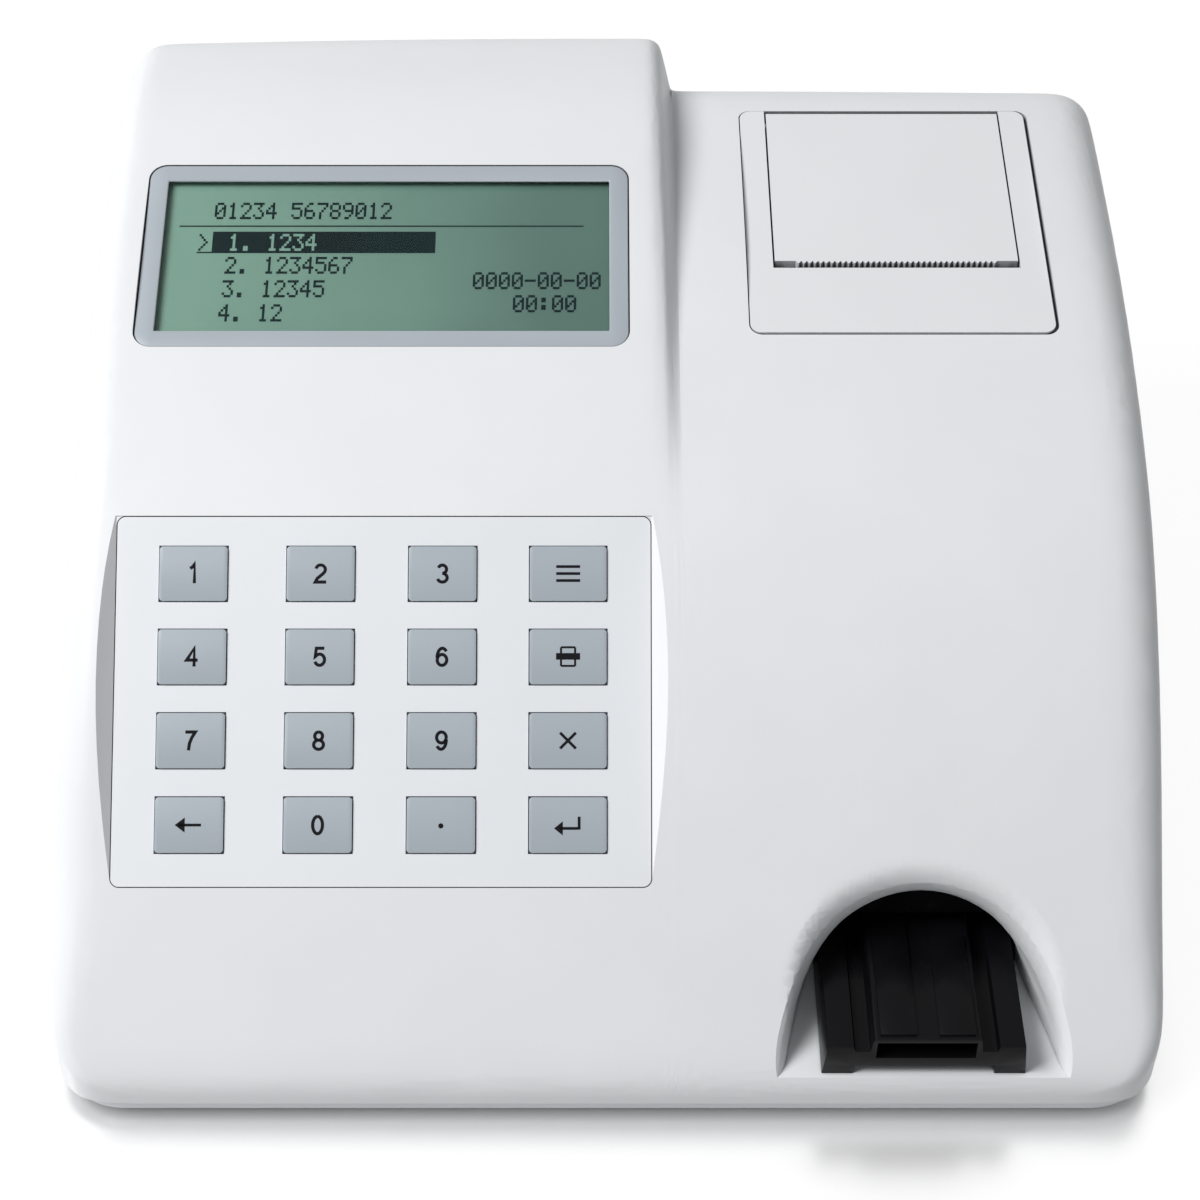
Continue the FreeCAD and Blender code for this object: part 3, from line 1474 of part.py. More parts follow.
def power_switch():
    """Rocker switch: a housing snapped into the rear panel and the rocker on its pins."""
    outer = "depth / 2 - rear_panel_sink"
    mid = "connector_z"
    case = block(
        "switch_case", "switch_width", "switch_depth", "switch_height", "switch_x",
        f"{outer} - switch_depth / 2", f"{mid} - switch_height / 2",
    )
    rim = block(
        "switch_rim", "switch_width + 2 * switch_flange", "switch_flange_thick",
        "switch_height + 2 * switch_flange", "switch_x", f"{outer} + switch_flange_thick / 2",
        f"{mid} - switch_height / 2 - switch_flange",
    )
    well = block(
        "switch_well", "rocker_width + 0.6", "9", "rocker_height + 1.6", "switch_x", f"{outer} - 2.5",
        f"{mid} - rocker_height / 2 - 0.8",
    )
    pin_y = f"{outer} - 3.4"
    socket = rod(
        "rocker_socket", "rocker_pin_radius + 0.05", "rocker_width + 2.6",
        "switch_x - rocker_width / 2 - 1.3", pin_y, mid, along="x",
    )
    node(cut("power_switch", join("switch_blank", [case, rim]), [well, socket]), "power_switch")
    rocker = new_body("power_rocker")
    side = sketch_on(rocker, "YZ_Plane", "rocker_side", offset="-rocker_width / 2")
    outline(side, [
        ("-2.2", "-1.8"),
        ("-2.2", "1.8"),
        ("1.4", "rocker_height / 2"),
        ("3.2", "rocker_height / 2"),
        ("2.6", "0"),
        ("3.2", "-rocker_height / 2"),
        ("1.4", "-rocker_height / 2"),
    ])
    pad(rocker, side, "rocker_width")
    pins = sketch_on(rocker, "YZ_Plane", "rocker_pins", offset="-rocker_width / 2 - 1.2")
    circle(pins, "rocker_pin_radius")
    pad(rocker, pins, "rocker_width + 2.4")
    rocker.Placement.Rotation = FreeCAD.Rotation(X_AXIS, size("rocker_tilt"))
    bind(rocker, Placement__Rotation__Angle="rocker_tilt")
    bind(rocker, Placement__Base__x="switch_x", Placement__Base__y=pin_y, Placement__Base__z=mid)


def power_inlet():
    """Low-voltage inlet: a moulded block with a round socket and a centre pin."""
    outer = "depth / 2 - rear_panel_sink + 0.5"
    block_piece = block(
        "inlet_block", "inlet_width", "inlet_depth", "inlet_height", "inlet_x",
        f"{outer} - inlet_depth / 2", "connector_z - inlet_height / 2",
    )
    stand = block(
        "inlet_stand", "inlet_width", "inlet_depth - 5",
        "connector_z - inlet_height / 2 - board_z - board_thick", "inlet_x",
        f"{outer} - inlet_depth / 2 - 2.5", "board_z + board_thick",
    )
    bore = rod(
        "inlet_bore", "inlet_bore", "inlet_bore_depth + 1", "inlet_x", f"{outer} - inlet_bore_depth",
        "connector_z", along="y",
    )
    node(cut("power_inlet", join("inlet_blank", [block_piece, stand]), [bore]), "power_inlet")
    pin = rod(
        "inlet_pin", "inlet_pin_radius", "inlet_pin_length", "inlet_x", f"{outer} - inlet_bore_depth",
        "connector_z", along="y",
    )
    node(pin, "inlet_pin")


def scanner_port():
    """Round socket for a hand scanner."""
    outer = "depth / 2 - rear_panel_sink + 0.5"
    nose = rod("scanner_nose", "scanner_radius", "6", "scanner_x", f"{outer} - 6", "connector_z", along="y")
    case = block(
        "scanner_case", "scanner_width", "10", "connector_z + scanner_width / 2 - board_z - board_thick",
        "scanner_x", f"{rear_inner()} - rear_flange_thick - 5.3", "board_z + board_thick",
    )
    link = rod("scanner_link", "scanner_radius", "8", "scanner_x", f"{outer} - 10", "connector_z", along="y")
    holes = []
    for k in range(6):
        angle = math.radians(30 + 60 * k)
        holes.append(rod("scanner_hole", "0.5", "4", f"scanner_x + {2.6 * math.cos(angle)}", f"{outer} - 3",
                         f"connector_z + {2.6 * math.sin(angle)}", along="y"))
    holes.append(block("scanner_key", "2.2", "6", "1.4", "scanner_x", outer, "connector_z - 0.7"))
    node(cut("scanner_port", join("scanner_blank", [nose, link, case]), holes), "scanner_port")


def dsub(label, x, across, pins):
    """D-shaped socket with two rows of contact holes, a mounting plate and its two jack screws."""
    outer = "depth / 2"
    low = "dsub_height / 2"
    body = new_body(label)
    shell = sketch_on(body, "XZ_Plane", label + "_shell", x, "connector_z", f"-({outer})")
    outline(shell, [
        (f"-({across}) / 2", low),
        (f"-({across}) / 2 + 1.4", f"-{low}"),
        (f"({across}) / 2 - 1.4", f"-{low}"),
        (f"({across}) / 2", low),
    ])
    pad(body, shell, "dsub_depth")
    flange = sketch_on(
        body, "XZ_Plane", label + "_plate", x, "connector_z", f"-({rear_inner()} - rear_flange_thick)",
    )
    rectangle(flange, f"{across} + 2 * dsub_ear", "dsub_plate_height")
    pad(body, flange, "1.2")
    stand = sketch_on(
        body, "XY_Plane", label + "_stand", x, f"{rear_inner()} - rear_flange_thick - 6",
        "board_z + board_thick",
    )
    rectangle(stand, f"{across}", "9")
    pad(body, stand, "connector_z - board_z - board_thick")
    contacts = sketch_on(body, "XZ_Plane", label + "_contacts", x, "connector_z", f"-({outer})")
    upper = (pins + 1) // 2
    for k in range(pins):
        column = k if k < upper else k - upper + 0.5
        row = "1.42" if k < upper else "-1.42"
        circle(contacts, "0.55", str(2.77 * (column - (upper - 1) / 2)), row)
    pocket(body, contacts, "3")
    return body


# ------------------------------------------------------------------------------------------ receipt printer


def printer_plane(thing):
    """Put a piece of the printer in the machine."""
    return place(thing, "printer_x", "printer_y", "printer_z", "printer_tilt")


def hinge_y():
    """Hinge axis of the paper lid, along the slope."""
    return "frame_length / 2 - hinge_inset"


def platen_y():
    """Axis of the platen roller, along the slope."""
    return "lid_front + platen_setback"


def printer_bezel():
    """Flat surround of the printer, open at the back where the lid hinges, with the two hinge ears."""
    body = new_body("printer_bezel")
    face = sketch_on(body, "XY_Plane", "frame_outline", offset="-frame_thick")
    rectangle(face, "frame_width", "frame_length")
    slab = pad(body, face, "frame_thick")
    round_edges(body, slab, "frame_round", upright)
    ears = sketch_on(body, "XY_Plane", "ear_outline", offset="-frame_thick")
    for side in ("-", ""):
        x, y = f"{side}(lid_width / 2 + lid_gap + hinge_ear / 2)", f"{hinge_y()} - lid_gap / 2"
        rectangle(ears, "hinge_ear", "2 * hinge_barrel + lid_gap", x, y)
    pad(body, ears, "hinge_drop + hinge_barrel - frame_thick", down=True)
    opening = sketch_on(body, "XY_Plane", "lid_opening")
    rectangle(
        opening, "lid_width + 2 * lid_gap", "frame_length / 2 - lid_front + tear_gap + 5",
        y="(frame_length / 2 + lid_front - tear_gap + 5) / 2",
    )
    pocket(body, opening, "frame_thick")
    pin_way = sketch_on(body, "YZ_Plane", "bezel_pin_way", hinge_y(), "-hinge_drop", "-frame_width / 2")
    circle(pin_way, "hinge_pin_radius + 0.02")
    pocket(body, pin_way, "frame_width", up=True)
    printer_plane(body)


def lid_outline():
    """Outline of the lid: from the hinge axis to a row of tear teeth along the front."""
    half, tear = "lid_width / 2", "tear_width / 2"
    back = hinge_y()
    points = [(half, back), (f"-{half}", back), (f"-{half}", "lid_front"), (f"-{tear}", "lid_front")]
    for k in range(int(size("tear_teeth"))):
        left = f"-{tear} + {k} * tear_width / tear_teeth"
        points.append((f"{left} + tear_width / tear_teeth / 2", "lid_front - tear_depth"))
        if k < int(size("tear_teeth")) - 1:
            points.append((f"{left} + tear_width / tear_teeth", "lid_front"))
    return points + [(tear, "lid_front"), (half, "lid_front")]


def paper_lid():
    """Hinged paper lid with a toothed tear edge, a hinge barrel and the two ears of the platen roller."""
    body = new_body("paper_lid")
    plate = sketch_on(body, "XY_Plane", "lid_plate", offset="-lid_thick")
    outline(plate, lid_outline())
    pad(body, plate, "lid_thick")
    barrel = sketch_on(body, "YZ_Plane", "lid_barrel", hinge_y(), "-hinge_drop", "-lid_width / 2")
    circle(barrel, "hinge_barrel")
    pad(body, barrel, "lid_width")
    ears = sketch_on(body, "XY_Plane", "platen_ears", "0", platen_y(), "-lid_thick")
    for side in ("-", ""):
        rectangle(ears, "platen_ear", "8", f"{side}(platen_length / 2 + platen_side_gap + platen_ear / 2)")
    pad(body, ears, "platen_drop + 3 - lid_thick", down=True)
    pin_way = sketch_on(body, "YZ_Plane", "lid_pin_way", hinge_y(), "-hinge_drop", "-lid_width / 2")
    circle(pin_way, "hinge_pin_radius + hinge_pin_gap")
    pocket(body, pin_way, "lid_width", up=True)
    shaft_way = sketch_on(body, "YZ_Plane", "lid_shaft_way", platen_y(), "-platen_drop", "-lid_width / 2")
    circle(shaft_way, "shaft_radius + shaft_gap")
    pocket(body, shaft_way, "lid_width", up=True)
    printer_plane(body)


def platen():
    """Rubber platen roller on its steel shaft, and the pin of the lid's hinge."""
    half = "(lid_width / 2 + lid_gap + hinge_ear)"
    pin = rod("lid_pin", "hinge_pin_radius", f"2 * {half}", f"-{half}", hinge_y(), "-hinge_drop", along="x")
    printer_plane(node(group("hinge_pin_set", [pin]), "hinge_pin"))
    reach = "(platen_length / 2 + 1.5 * platen_side_gap + platen_ear)"
    shaft = rod(
        "platen_rod", "shaft_radius", f"2 * {reach}", f"-{reach}", platen_y(), "-platen_drop", along="x",
    )
    printer_plane(node(group("platen_shaft_set", [shaft]), "platen_shaft"))
    sleeve = rod(
        "platen_sleeve", "platen_radius", "platen_length", "-platen_length / 2", platen_y(),
        "-platen_drop", along="x",
    )
    core = rod(
        "platen_core", "shaft_radius + 0.02", "platen_length + 2", "-platen_length / 2 - 1", platen_y(),
        "-platen_drop", along="x",
    )
    printer_plane(node(cut("platen_roller", sleeve, [core]), "platen_roller"))


def printer_chassis():
    """Paper bucket with a round bottom, and the cheeks in front of it that hold the print head."""
    half, wall = "bucket_half", "bucket_wall"
    top = "-frame_thick"
    body = new_body("printer_chassis")
    side = sketch_on(body, "YZ_Plane", "chassis_side", offset="-bucket_half")
    outline(side, [
        ("cheek_front", top),
        ("cheek_front", f"{top} - cheek_drop"),
        ("bucket_front - bucket_wall", f"{top} - cheek_drop"),
        ("bucket_front - bucket_wall", f"{top} - bucket_depth + 10"),
        ("bucket_front + 10", f"{top} - bucket_depth"),
        ("bucket_back - 10", f"{top} - bucket_depth"),
        ("bucket_back + bucket_wall", f"{top} - bucket_depth + 10"),
        ("bucket_back + bucket_wall", top),
    ])
    pad(body, side, "2 * bucket_half")
    hollow = sketch_on(body, "YZ_Plane", "chassis_hollow", offset=f"-({half} - {wall})")
    outline(hollow, [
        ("bucket_front", "1"),
        ("bucket_front", f"{top} - bucket_depth + 10.6"),
        ("bucket_front + 10.4", f"{top} - bucket_depth + {wall}"),
        ("bucket_back - 10.4", f"{top} - bucket_depth + {wall}"),
        ("bucket_back", f"{top} - bucket_depth + 10.6"),
        ("bucket_back", "1"),
    ])
    pocket(body, hollow, f"2 * ({half} - {wall})", up=True)
    bay = sketch_on(body, "YZ_Plane", "head_bay", offset=f"-({half} - {wall})")
    rectangle(
        bay, "(bucket_front + 0.1) - (cheek_front + bucket_wall)", "cheek_drop",
        "((bucket_front + 0.1) + (cheek_front + bucket_wall)) / 2",
        f"{top} - cheek_drop / 2 + bucket_wall",
    )
    pocket(body, bay, f"2 * ({half} - {wall})", up=True)
    return printer_plane(body)


def print_head():
    """Thermal print head on its heat sink in front of the platen, and the leaf spring that presses it."""
    face = f"{platen_y()} - platen_radius - head_gap"
    half, low, high = "platen_length / 2", "-platen_drop - head_length / 2", "-platen_drop + head_length / 2"
    strip = span("head_strip", f"-{half}", half, f"{face} - head_strip", face, low, high)
    sink = span(
        "head_sink", f"-{half} - 1", f"{half} + 1", f"{face} - head_thick", f"{face} - head_strip",
        f"{low} - head_margin", high,
    )
    printer_plane(node(group("print_head_set", [join("print_head_blank", [strip, sink])]), "print_head"))
    spring = new_body("head_spring")
    leaf = sketch_on(spring, "YZ_Plane", "spring_side", "0", "-platen_drop", "-spring_width / 2")
    wall, back = "cheek_front + bucket_wall", f"{face} - head_thick"
    outline(leaf, [
        (wall, "spring_thick"),
        (wall, "-spring_rise"),
        (f"({wall}) + spring_thick", "-spring_rise"),
        (f"({wall}) + spring_thick", "0"),
        (back, "-spring_rise"),
        (back, "spring_thick * 2 - spring_rise"),
    ])
    pad(spring, leaf, "spring_width")
    printer_plane(spring)


def feed_motor():
    """Small motor on the side of the chassis that feeds the paper."""
    y, drop = "cheek_front + feed_motor_radius + bucket_wall", "frame_ledge_depth + 0.4 + feed_motor_radius"
    can = rod("feed_can", "feed_motor_radius", "feed_motor_length", "bucket_half", y, f"-({drop})", along="x")
    printer_plane(node(group("feed_motor_set", [can]), "feed_motor"))


# ------------------------------------------------------------------------------------------ build


def build():
    """Make every sub-part."""
    formed(top_casing(), "top_casing")
    bottom_casing()
    feet()
    screws()
    display()
    keypad_panel()
    for label, column, row in KEYS:
        key(label, column, row)
    keypad_board()
    strip_platform()
    carriage_rack()
    drive_pinion()
    carriage_guide()
    port_liner()
    carriage_motor()
    optics()
    main_board()
    ribbon_cables()
    rear_panel()
    power_switch()
    power_inlet()
    scanner_port()
    dsub("serial_port", "serial_x", "serial_width", 9)
    dsub("printer_port", "printer_port_x", "printer_port_width", 25)
    printer_bezel()
    paper_lid()
    platen()
    printer_chassis()
    print_head()
    feed_motor()
    doc.recompute()


def write_nodes():
    """Check every object, then write each sub-part to its own file."""
    failed = [thing.Name for thing in doc.Objects if "Invalid" in thing.State or "Error" in thing.State]
    if failed:
        raise RuntimeError(f"failed features: {failed}")
    for thing in NODES:
        if thing.Shape.isNull() or not thing.Shape.isValid() or not thing.Shape.Solids:
            raise RuntimeError(f"bad shape: {thing.Label}")
    os.makedirs("parts", exist_ok=True)
    for thing in NODES:
        thing.Shape.exportStep(f"parts/{thing.Label}.step")
        print(f"{thing.Label}: {len(thing.Shape.Solids)} solids, {thing.Shape.Volume:.1f} mm3")


build()
write_nodes()
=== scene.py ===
"""Benchtop test strip analyser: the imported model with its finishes, prints and studio."""

import math
import re

import bmesh
import bpy
from mathutils import Matrix, Vector


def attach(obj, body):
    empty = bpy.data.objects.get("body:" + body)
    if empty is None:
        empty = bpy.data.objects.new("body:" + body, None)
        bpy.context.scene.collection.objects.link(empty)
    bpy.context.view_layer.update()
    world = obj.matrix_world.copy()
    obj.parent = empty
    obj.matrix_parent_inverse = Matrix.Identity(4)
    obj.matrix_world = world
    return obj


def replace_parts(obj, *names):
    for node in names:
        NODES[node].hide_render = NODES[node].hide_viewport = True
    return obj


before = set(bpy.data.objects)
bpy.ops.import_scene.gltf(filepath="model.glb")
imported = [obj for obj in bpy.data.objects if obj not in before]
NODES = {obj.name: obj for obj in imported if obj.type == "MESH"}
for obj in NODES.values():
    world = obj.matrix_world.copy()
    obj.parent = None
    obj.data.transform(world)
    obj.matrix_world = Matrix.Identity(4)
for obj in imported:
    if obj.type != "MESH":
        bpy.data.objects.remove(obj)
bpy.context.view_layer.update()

MM = 0.001

# Corners of a CAD mesh nearer than this, in metres, are one corner, and edges sharper than this stay sharp.
WELD = 0.000002
CREASE = math.radians(28.0)


# ------------------------------------------------------------------------------------------ planes

# Sloping planes of the machine: middle in millimetres and tilt about X in degrees.
KEYPAD = ((-54.1, -68.8, 76.9), 38.9)
DISPLAY = ((-56.4, 34.8, 132.3), 16.8)
PRINTER = ((74.8, 56.3, 127.9), 6.9)


def plane_matrix(plane, x=0.0, y=0.0, z=0.0):
    """Matrix that carries a piece drawn flat, in metres, to a place on a sloping plane, in millimetres."""
    middle, tilt = plane
    return (
        Matrix.Translation(Vector(middle) * MM)
        @ Matrix.Rotation(math.radians(tilt), 4, "X")
        @ Matrix.Translation(Vector((x, y, z)) * MM)
    )


PRINTER_MATRIX = plane_matrix(PRINTER)
PRINTER_INVERSE = PRINTER_MATRIX.inverted()


# ------------------------------------------------------------------------------------------ materials


class Shader:
    """Principled material with helpers that wire procedural detail into it."""

    def __init__(self, name, colour, roughness, **sockets):
        self.material = bpy.data.materials.new(name)
        self.material.use_nodes = True
        self.nodes = self.material.node_tree.nodes
        self.links = self.material.node_tree.links
        self.surface = self.nodes["Principled BSDF"]
        self.colour = colour
        self.surface.inputs["Base Color"].default_value = (*colour, 1.0)
        self.surface.inputs["Roughness"].default_value = roughness
        for socket, number in sockets.items():
            self.surface.inputs[socket.replace("_", " ")].default_value = number
        self.place = self.nodes.new("ShaderNodeTexCoord").outputs["Object"]
        self.height = None

    def noise(self, scale, detail=3.0):
        """Value of a noise texture with grains of 1/scale metres."""
        texture = self.nodes.new("ShaderNodeTexNoise")
        texture.inputs["Scale"].default_value = scale
        texture.inputs["Detail"].default_value = detail
        self.links.new(self.place, texture.inputs["Vector"])
        return texture.outputs["Fac"]

    def vary_colour(self, scale, amount):
        """Mix two close tones of the colour by a noise."""
        dark = tuple(channel * (1 - amount) for channel in self.colour)
        light = tuple(min(1.0, channel * (1 + amount)) for channel in self.colour)
        self.ramp(self.noise(scale), [(0.3, dark), (0.7, light)])

    def ramp(self, value, stops):
        """Colour from a value through a ramp."""
        ramp = self.nodes.new("ShaderNodeValToRGB")
        while len(ramp.color_ramp.elements) < len(stops):
            ramp.color_ramp.elements.new(0.5)
        for element, (position, colour) in zip(ramp.color_ramp.elements, stops):
            element.position = position
            element.color = (*colour, 1.0)
        self.links.new(value, ramp.inputs["Fac"])
        self.links.new(ramp.outputs["Color"], self.surface.inputs["Base Color"])

    def shade_seams(self, reach_mm):
        """Painted shade: darken the colour by ambient occlusion in narrow gaps and recesses, where shade
        falls.
        """
        tone = self.surface.inputs["Base Color"].links[0].from_socket
        shade = self.nodes.new("ShaderNodeAmbientOcclusion")
        shade.samples = 6
        shade.inputs["Distance"].default_value = reach_mm * MM
        depth = self.nodes.new("ShaderNodeMapRange")
        depth.inputs["From Min"].default_value = 0.22
        depth.inputs["From Max"].default_value = 0.68
        depth.inputs["To Min"].default_value = 0.06
        depth.inputs["To Max"].default_value = 1.0
        dust = self.nodes.new("ShaderNodeMix")
        dust.data_type = "RGBA"
        # Near-black painted shade, mixed in where ambient occlusion finds a narrow gap.
        dust.inputs[6].default_value = (0.01, 0.01, 0.01, 1.0)
        self.links.new(shade.outputs["AO"], depth.inputs["Value"])
        self.links.new(depth.outputs["Result"], dust.inputs[0])
        self.links.new(tone, dust.inputs[7])
        self.links.new(dust.outputs[2], self.surface.inputs["Base Color"])

    def vary_gloss(self, scale, low, high):
        """Roughness that wanders between two values."""
        span = self.nodes.new("ShaderNodeMapRange")
        span.inputs["From Min"].default_value = 0.3
        span.inputs["From Max"].default_value = 0.7
        span.inputs["To Min"].default_value = low
        span.inputs["To Max"].default_value = high
        self.links.new(self.noise(scale), span.inputs["Value"])
        self.links.new(span.outputs["Result"], self.surface.inputs["Roughness"])

    def grain(self, scale, depth_mm, detail=2.0):
        """Raised grain of a moulding, one bump over the other."""
        bump = self.nodes.new("ShaderNodeBump")
        bump.inputs["Distance"].default_value = depth_mm * MM
        bump.inputs["Strength"].default_value = 1.0
        self.links.new(self.noise(scale, detail), bump.inputs["Height"])
        if self.height:
            self.links.new(self.height, bump.inputs["Normal"])
        self.height = bump.outputs["Normal"]
        self.links.new(self.height, self.surface.inputs["Normal"])


def moulded(name, colour, roughness, variation=0.012, grain=0.004, dust=1.6, **sockets):
    """Moulded plastic with a fine spark-eroded grain and painted shade darkening its seams."""
    shader = Shader(name, colour, roughness, **sockets)
    shader.vary_colour(38.0, variation)
    # Painted shade: the seam value is the reach, in millimetres, of the ambient occlusion that darkens gaps;
    # 0 leaves it out.
    if dust:
        shader.shade_seams(dust)
    shader.vary_gloss(60.0, roughness - 0.04, roughness + 0.05)
    shader.grain(2600.0, grain)
    shader.grain(24.0, 0.02, 1.0)
    return shader.material


def metal(name, colour, roughness):
    """Plain metal with faint streaks."""
    shader = Shader(name, colour, roughness, Metallic=1.0)
    shader.vary_colour(300.0, 0.06)
    shader.vary_gloss(900.0, roughness - 0.06, roughness + 0.1)
    return shader.material


def board_finish():
    """Solder mask over copper tracks."""
    shader = Shader("solder_mask", (0.02, 0.16, 0.07), 0.35)
    tracks = shader.nodes.new("ShaderNodeTexBrick")
    tracks.inputs["Scale"].default_value = 90.0
    tracks.inputs["Mortar Size"].default_value = 0.06
    tracks.inputs["Color1"].default_value = (0.02, 0.16, 0.07, 1)
    tracks.inputs["Color2"].default_value = (0.03, 0.22, 0.1, 1)
    tracks.inputs["Mortar"].default_value = (0.05, 0.3, 0.12, 1)
    shader.links.new(shader.place, tracks.inputs["Vector"])
    shader.links.new(tracks.outputs["Color"], shader.surface.inputs["Base Color"])
    shader.grain(1500.0, 0.01)
    return shader.material


def clear_finish():
    """Clear hard-coated window: see-through, with a thin reflection."""
    material = bpy.data.materials.new("clear_window")
    material.use_nodes = True
    nodes, links = material.node_tree.nodes, material.node_tree.links
    nodes.clear()
    output = nodes.new("ShaderNodeOutputMaterial")
    mix = nodes.new("ShaderNodeMixShader")
    through = nodes.new("ShaderNodeBsdfTransparent")
    through.inputs["Color"].default_value = (0.97, 0.98, 0.975, 1)
    gloss = nodes.new("ShaderNodeBsdfGlossy")
    gloss.inputs["Roughness"].default_value = 0.12
    edge = nodes.new("ShaderNodeFresnel")
    edge.inputs["IOR"].default_value = 1.18
    place = nodes.new("ShaderNodeTexCoord")
    smear = nodes.new("ShaderNodeTexNoise")
    smear.inputs["Scale"].default_value = 70.0
    bump = nodes.new("ShaderNodeBump")
    bump.inputs["Distance"].default_value = 0.00001
    links.new(place.outputs["Object"], smear.inputs["Vector"])
    links.new(smear.outputs["Fac"], bump.inputs["Height"])
    links.new(bump.outputs["Normal"], gloss.inputs["Normal"])
    links.new(edge.outputs["Fac"], mix.inputs["Fac"])
    links.new(through.outputs["BSDF"], mix.inputs[1])
    links.new(gloss.outputs["BSDF"], mix.inputs[2])
    links.new(mix.outputs["Shader"], output.inputs["Surface"])
    return material


def display_finish():
    """Grey-green reflective display with painted light: paler towards the left, where the lamp falls, with a
    faint random mottle.
    """
    shader = Shader("display_field", (0.2, 0.3, 0.25), 0.4)
    split = shader.nodes.new("ShaderNodeSeparateXYZ")
    shader.links.new(shader.place, split.inputs["Vector"])
    across = shader.nodes.new("ShaderNodeMapRange")
    middle, half = DISPLAY[0][0] * MM, 0.056
    across.inputs["From Min"].default_value = middle - half
    across.inputs["From Max"].default_value = middle + half
    shader.links.new(split.outputs["X"], across.inputs["Value"])
    cloud = shader.nodes.new("ShaderNodeMath")
    cloud.operation = "MULTIPLY_ADD"
    cloud.inputs[1].default_value = 0.22
    shader.links.new(shader.noise(34.0, 1.0), cloud.inputs[0])
    shader.links.new(across.outputs["Result"], cloud.inputs[2])
    # Painted light: the tone runs from pale at the left edge to dark at the right.
    tones = [(0.05, (0.21, 0.37, 0.295)), (0.6, (0.155, 0.28, 0.23)), (1.1, (0.09, 0.175, 0.145))]
    shader.ramp(cloud.outputs["Value"], tones)
    shader.grain(4000.0, 0.002)
    return shader.material


# Print and polished parts: no painted shade in their seams and little reflection.
INK = {"variation": 0.2, "grain": 0.001, "dust": 0.0, "Specular_IOR_Level": 0.1}
POLISH = {"variation": 0.15, "grain": 0.002, "dust": 0.0, "Specular_IOR_Level": 0.08}

FINISH = {
    "casing": moulded("casing_plastic", (0.785, 0.797, 0.812), 0.42, Specular_IOR_Level=0.35),
    "base": moulded("base_plastic", (0.74, 0.76, 0.78), 0.45),
    "panel": moulded("panel_film", (0.765, 0.785, 0.81), 0.45, 0.008, 0.002, 0.0),
    "key": moulded("key_plastic", (0.365, 0.41, 0.45), 0.42, 0.02, 0.003, 0.0),
    "bezel": moulded("bezel_plastic", (0.39, 0.43, 0.467), 0.35, variation=0.015, grain=0.003),
    # The lid's seams take a longer reach of painted shade, so that the paper slot looks dark.
    "lid": moulded("lid_plastic", (0.775, 0.786, 0.80), 0.42, 0.008, 0.004, 3.2),
    "platform": moulded("platform_plastic", (0.004, 0.004, 0.005), 0.2, **POLISH),
    "dark": moulded("dark_plastic", (0.012, 0.012, 0.013), 0.4, variation=0.15),
    "rear": moulded("rear_plastic", (0.56, 0.575, 0.59), 0.5),
    "gear": moulded("gear_plastic", (0.80, 0.78, 0.72), 0.4),
    "rubber": moulded("foot_rubber", (0.018, 0.018, 0.018), 0.75, variation=0.2, grain=0.02),
    "platen": moulded("platen_rubber", (0.03, 0.03, 0.032), 0.6, variation=0.2, grain=0.01),
    "white": moulded("reference_white", (0.9, 0.9, 0.89), 0.5, variation=0.005),
    "chip": moulded("component_black", (0.02, 0.02, 0.022), 0.5, variation=0.3),
    "steel": metal("screw_steel", (0.6, 0.6, 0.6), 0.3),
    "zinc": metal("bracket_zinc", (0.62, 0.63, 0.64), 0.4),
    "can": metal("motor_can", (0.42, 0.42, 0.44), 0.35),
    "dome": metal("dome_metal", (0.72, 0.7, 0.64), 0.3),
    "shell": metal("connector_shell", (0.36, 0.36, 0.35), 0.35),
    "ceramic": moulded("head_ceramic", (0.1, 0.1, 0.1), 0.4),
    "cable": moulded("cable_grey", (0.42, 0.43, 0.45), 0.5),
    "legend": moulded("legend_ink", (0.004, 0.004, 0.006), 0.6, **INK),
    "segment": moulded("display_segment", (0.004, 0.014, 0.016), 0.6, **INK),
    "board": board_finish(),
    "clear": clear_finish(),
    "display": display_finish(),
}

NODE_FINISH = {
    "top_casing": "casing",
    "bottom_casing": "base",
    "feet": "rubber",
    "casing_screws": "steel",
    "board_screws": "steel",
    "display_bezel": "bezel",
    "display_window": "clear",
    "display_glass": "display",
    "display_board": "board",
    "keypad_panel": "panel",
    "keypad_board": "board",
    "key_domes": "dome",
    "strip_platform": "platform",
    "carriage_rack": "gear",
    "drive_pinion": "gear",
    "motor_shaft": "steel",
    "carriage_guide": "dark",
    "port_liner": "platform",
    "carriage_motor": "can",
    "motor_bracket": "zinc",
    "optical_head": "dark",
    "lens": "clear",
    "sensor_board": "board",
    "reference_tile": "white",
    "main_board": "board",
    "board_components": "chip",
    "rear_panel": "rear",
    "power_switch": "dark",
    "power_rocker": "dark",
    "power_inlet": "dark",
    "inlet_pin": "steel",
    "scanner_port": "dark",
    "serial_port": "shell",
    "printer_port": "shell",
    "printer_bezel": "lid",
    "paper_lid": "lid",
    "hinge_pin": "steel",
    "platen_shaft": "steel",
    "platen_roller": "platen",
    "printer_chassis": "dark",
    "print_head": "ceramic",
    "head_spring": "steel",
    "feed_motor": "can",
    "ribbon_cables": "cable",
}


def dress_nodes():
    """Give every CAD node its finish; the nodes that aren't listed are the caps of the keys."""
    for name, node in NODES.items():
        finish = FINISH[NODE_FINISH.get(name, "key")]
        if not node.material_slots:
            node.data.materials.append(finish)
        for holder in node.material_slots:
            holder.material = finish


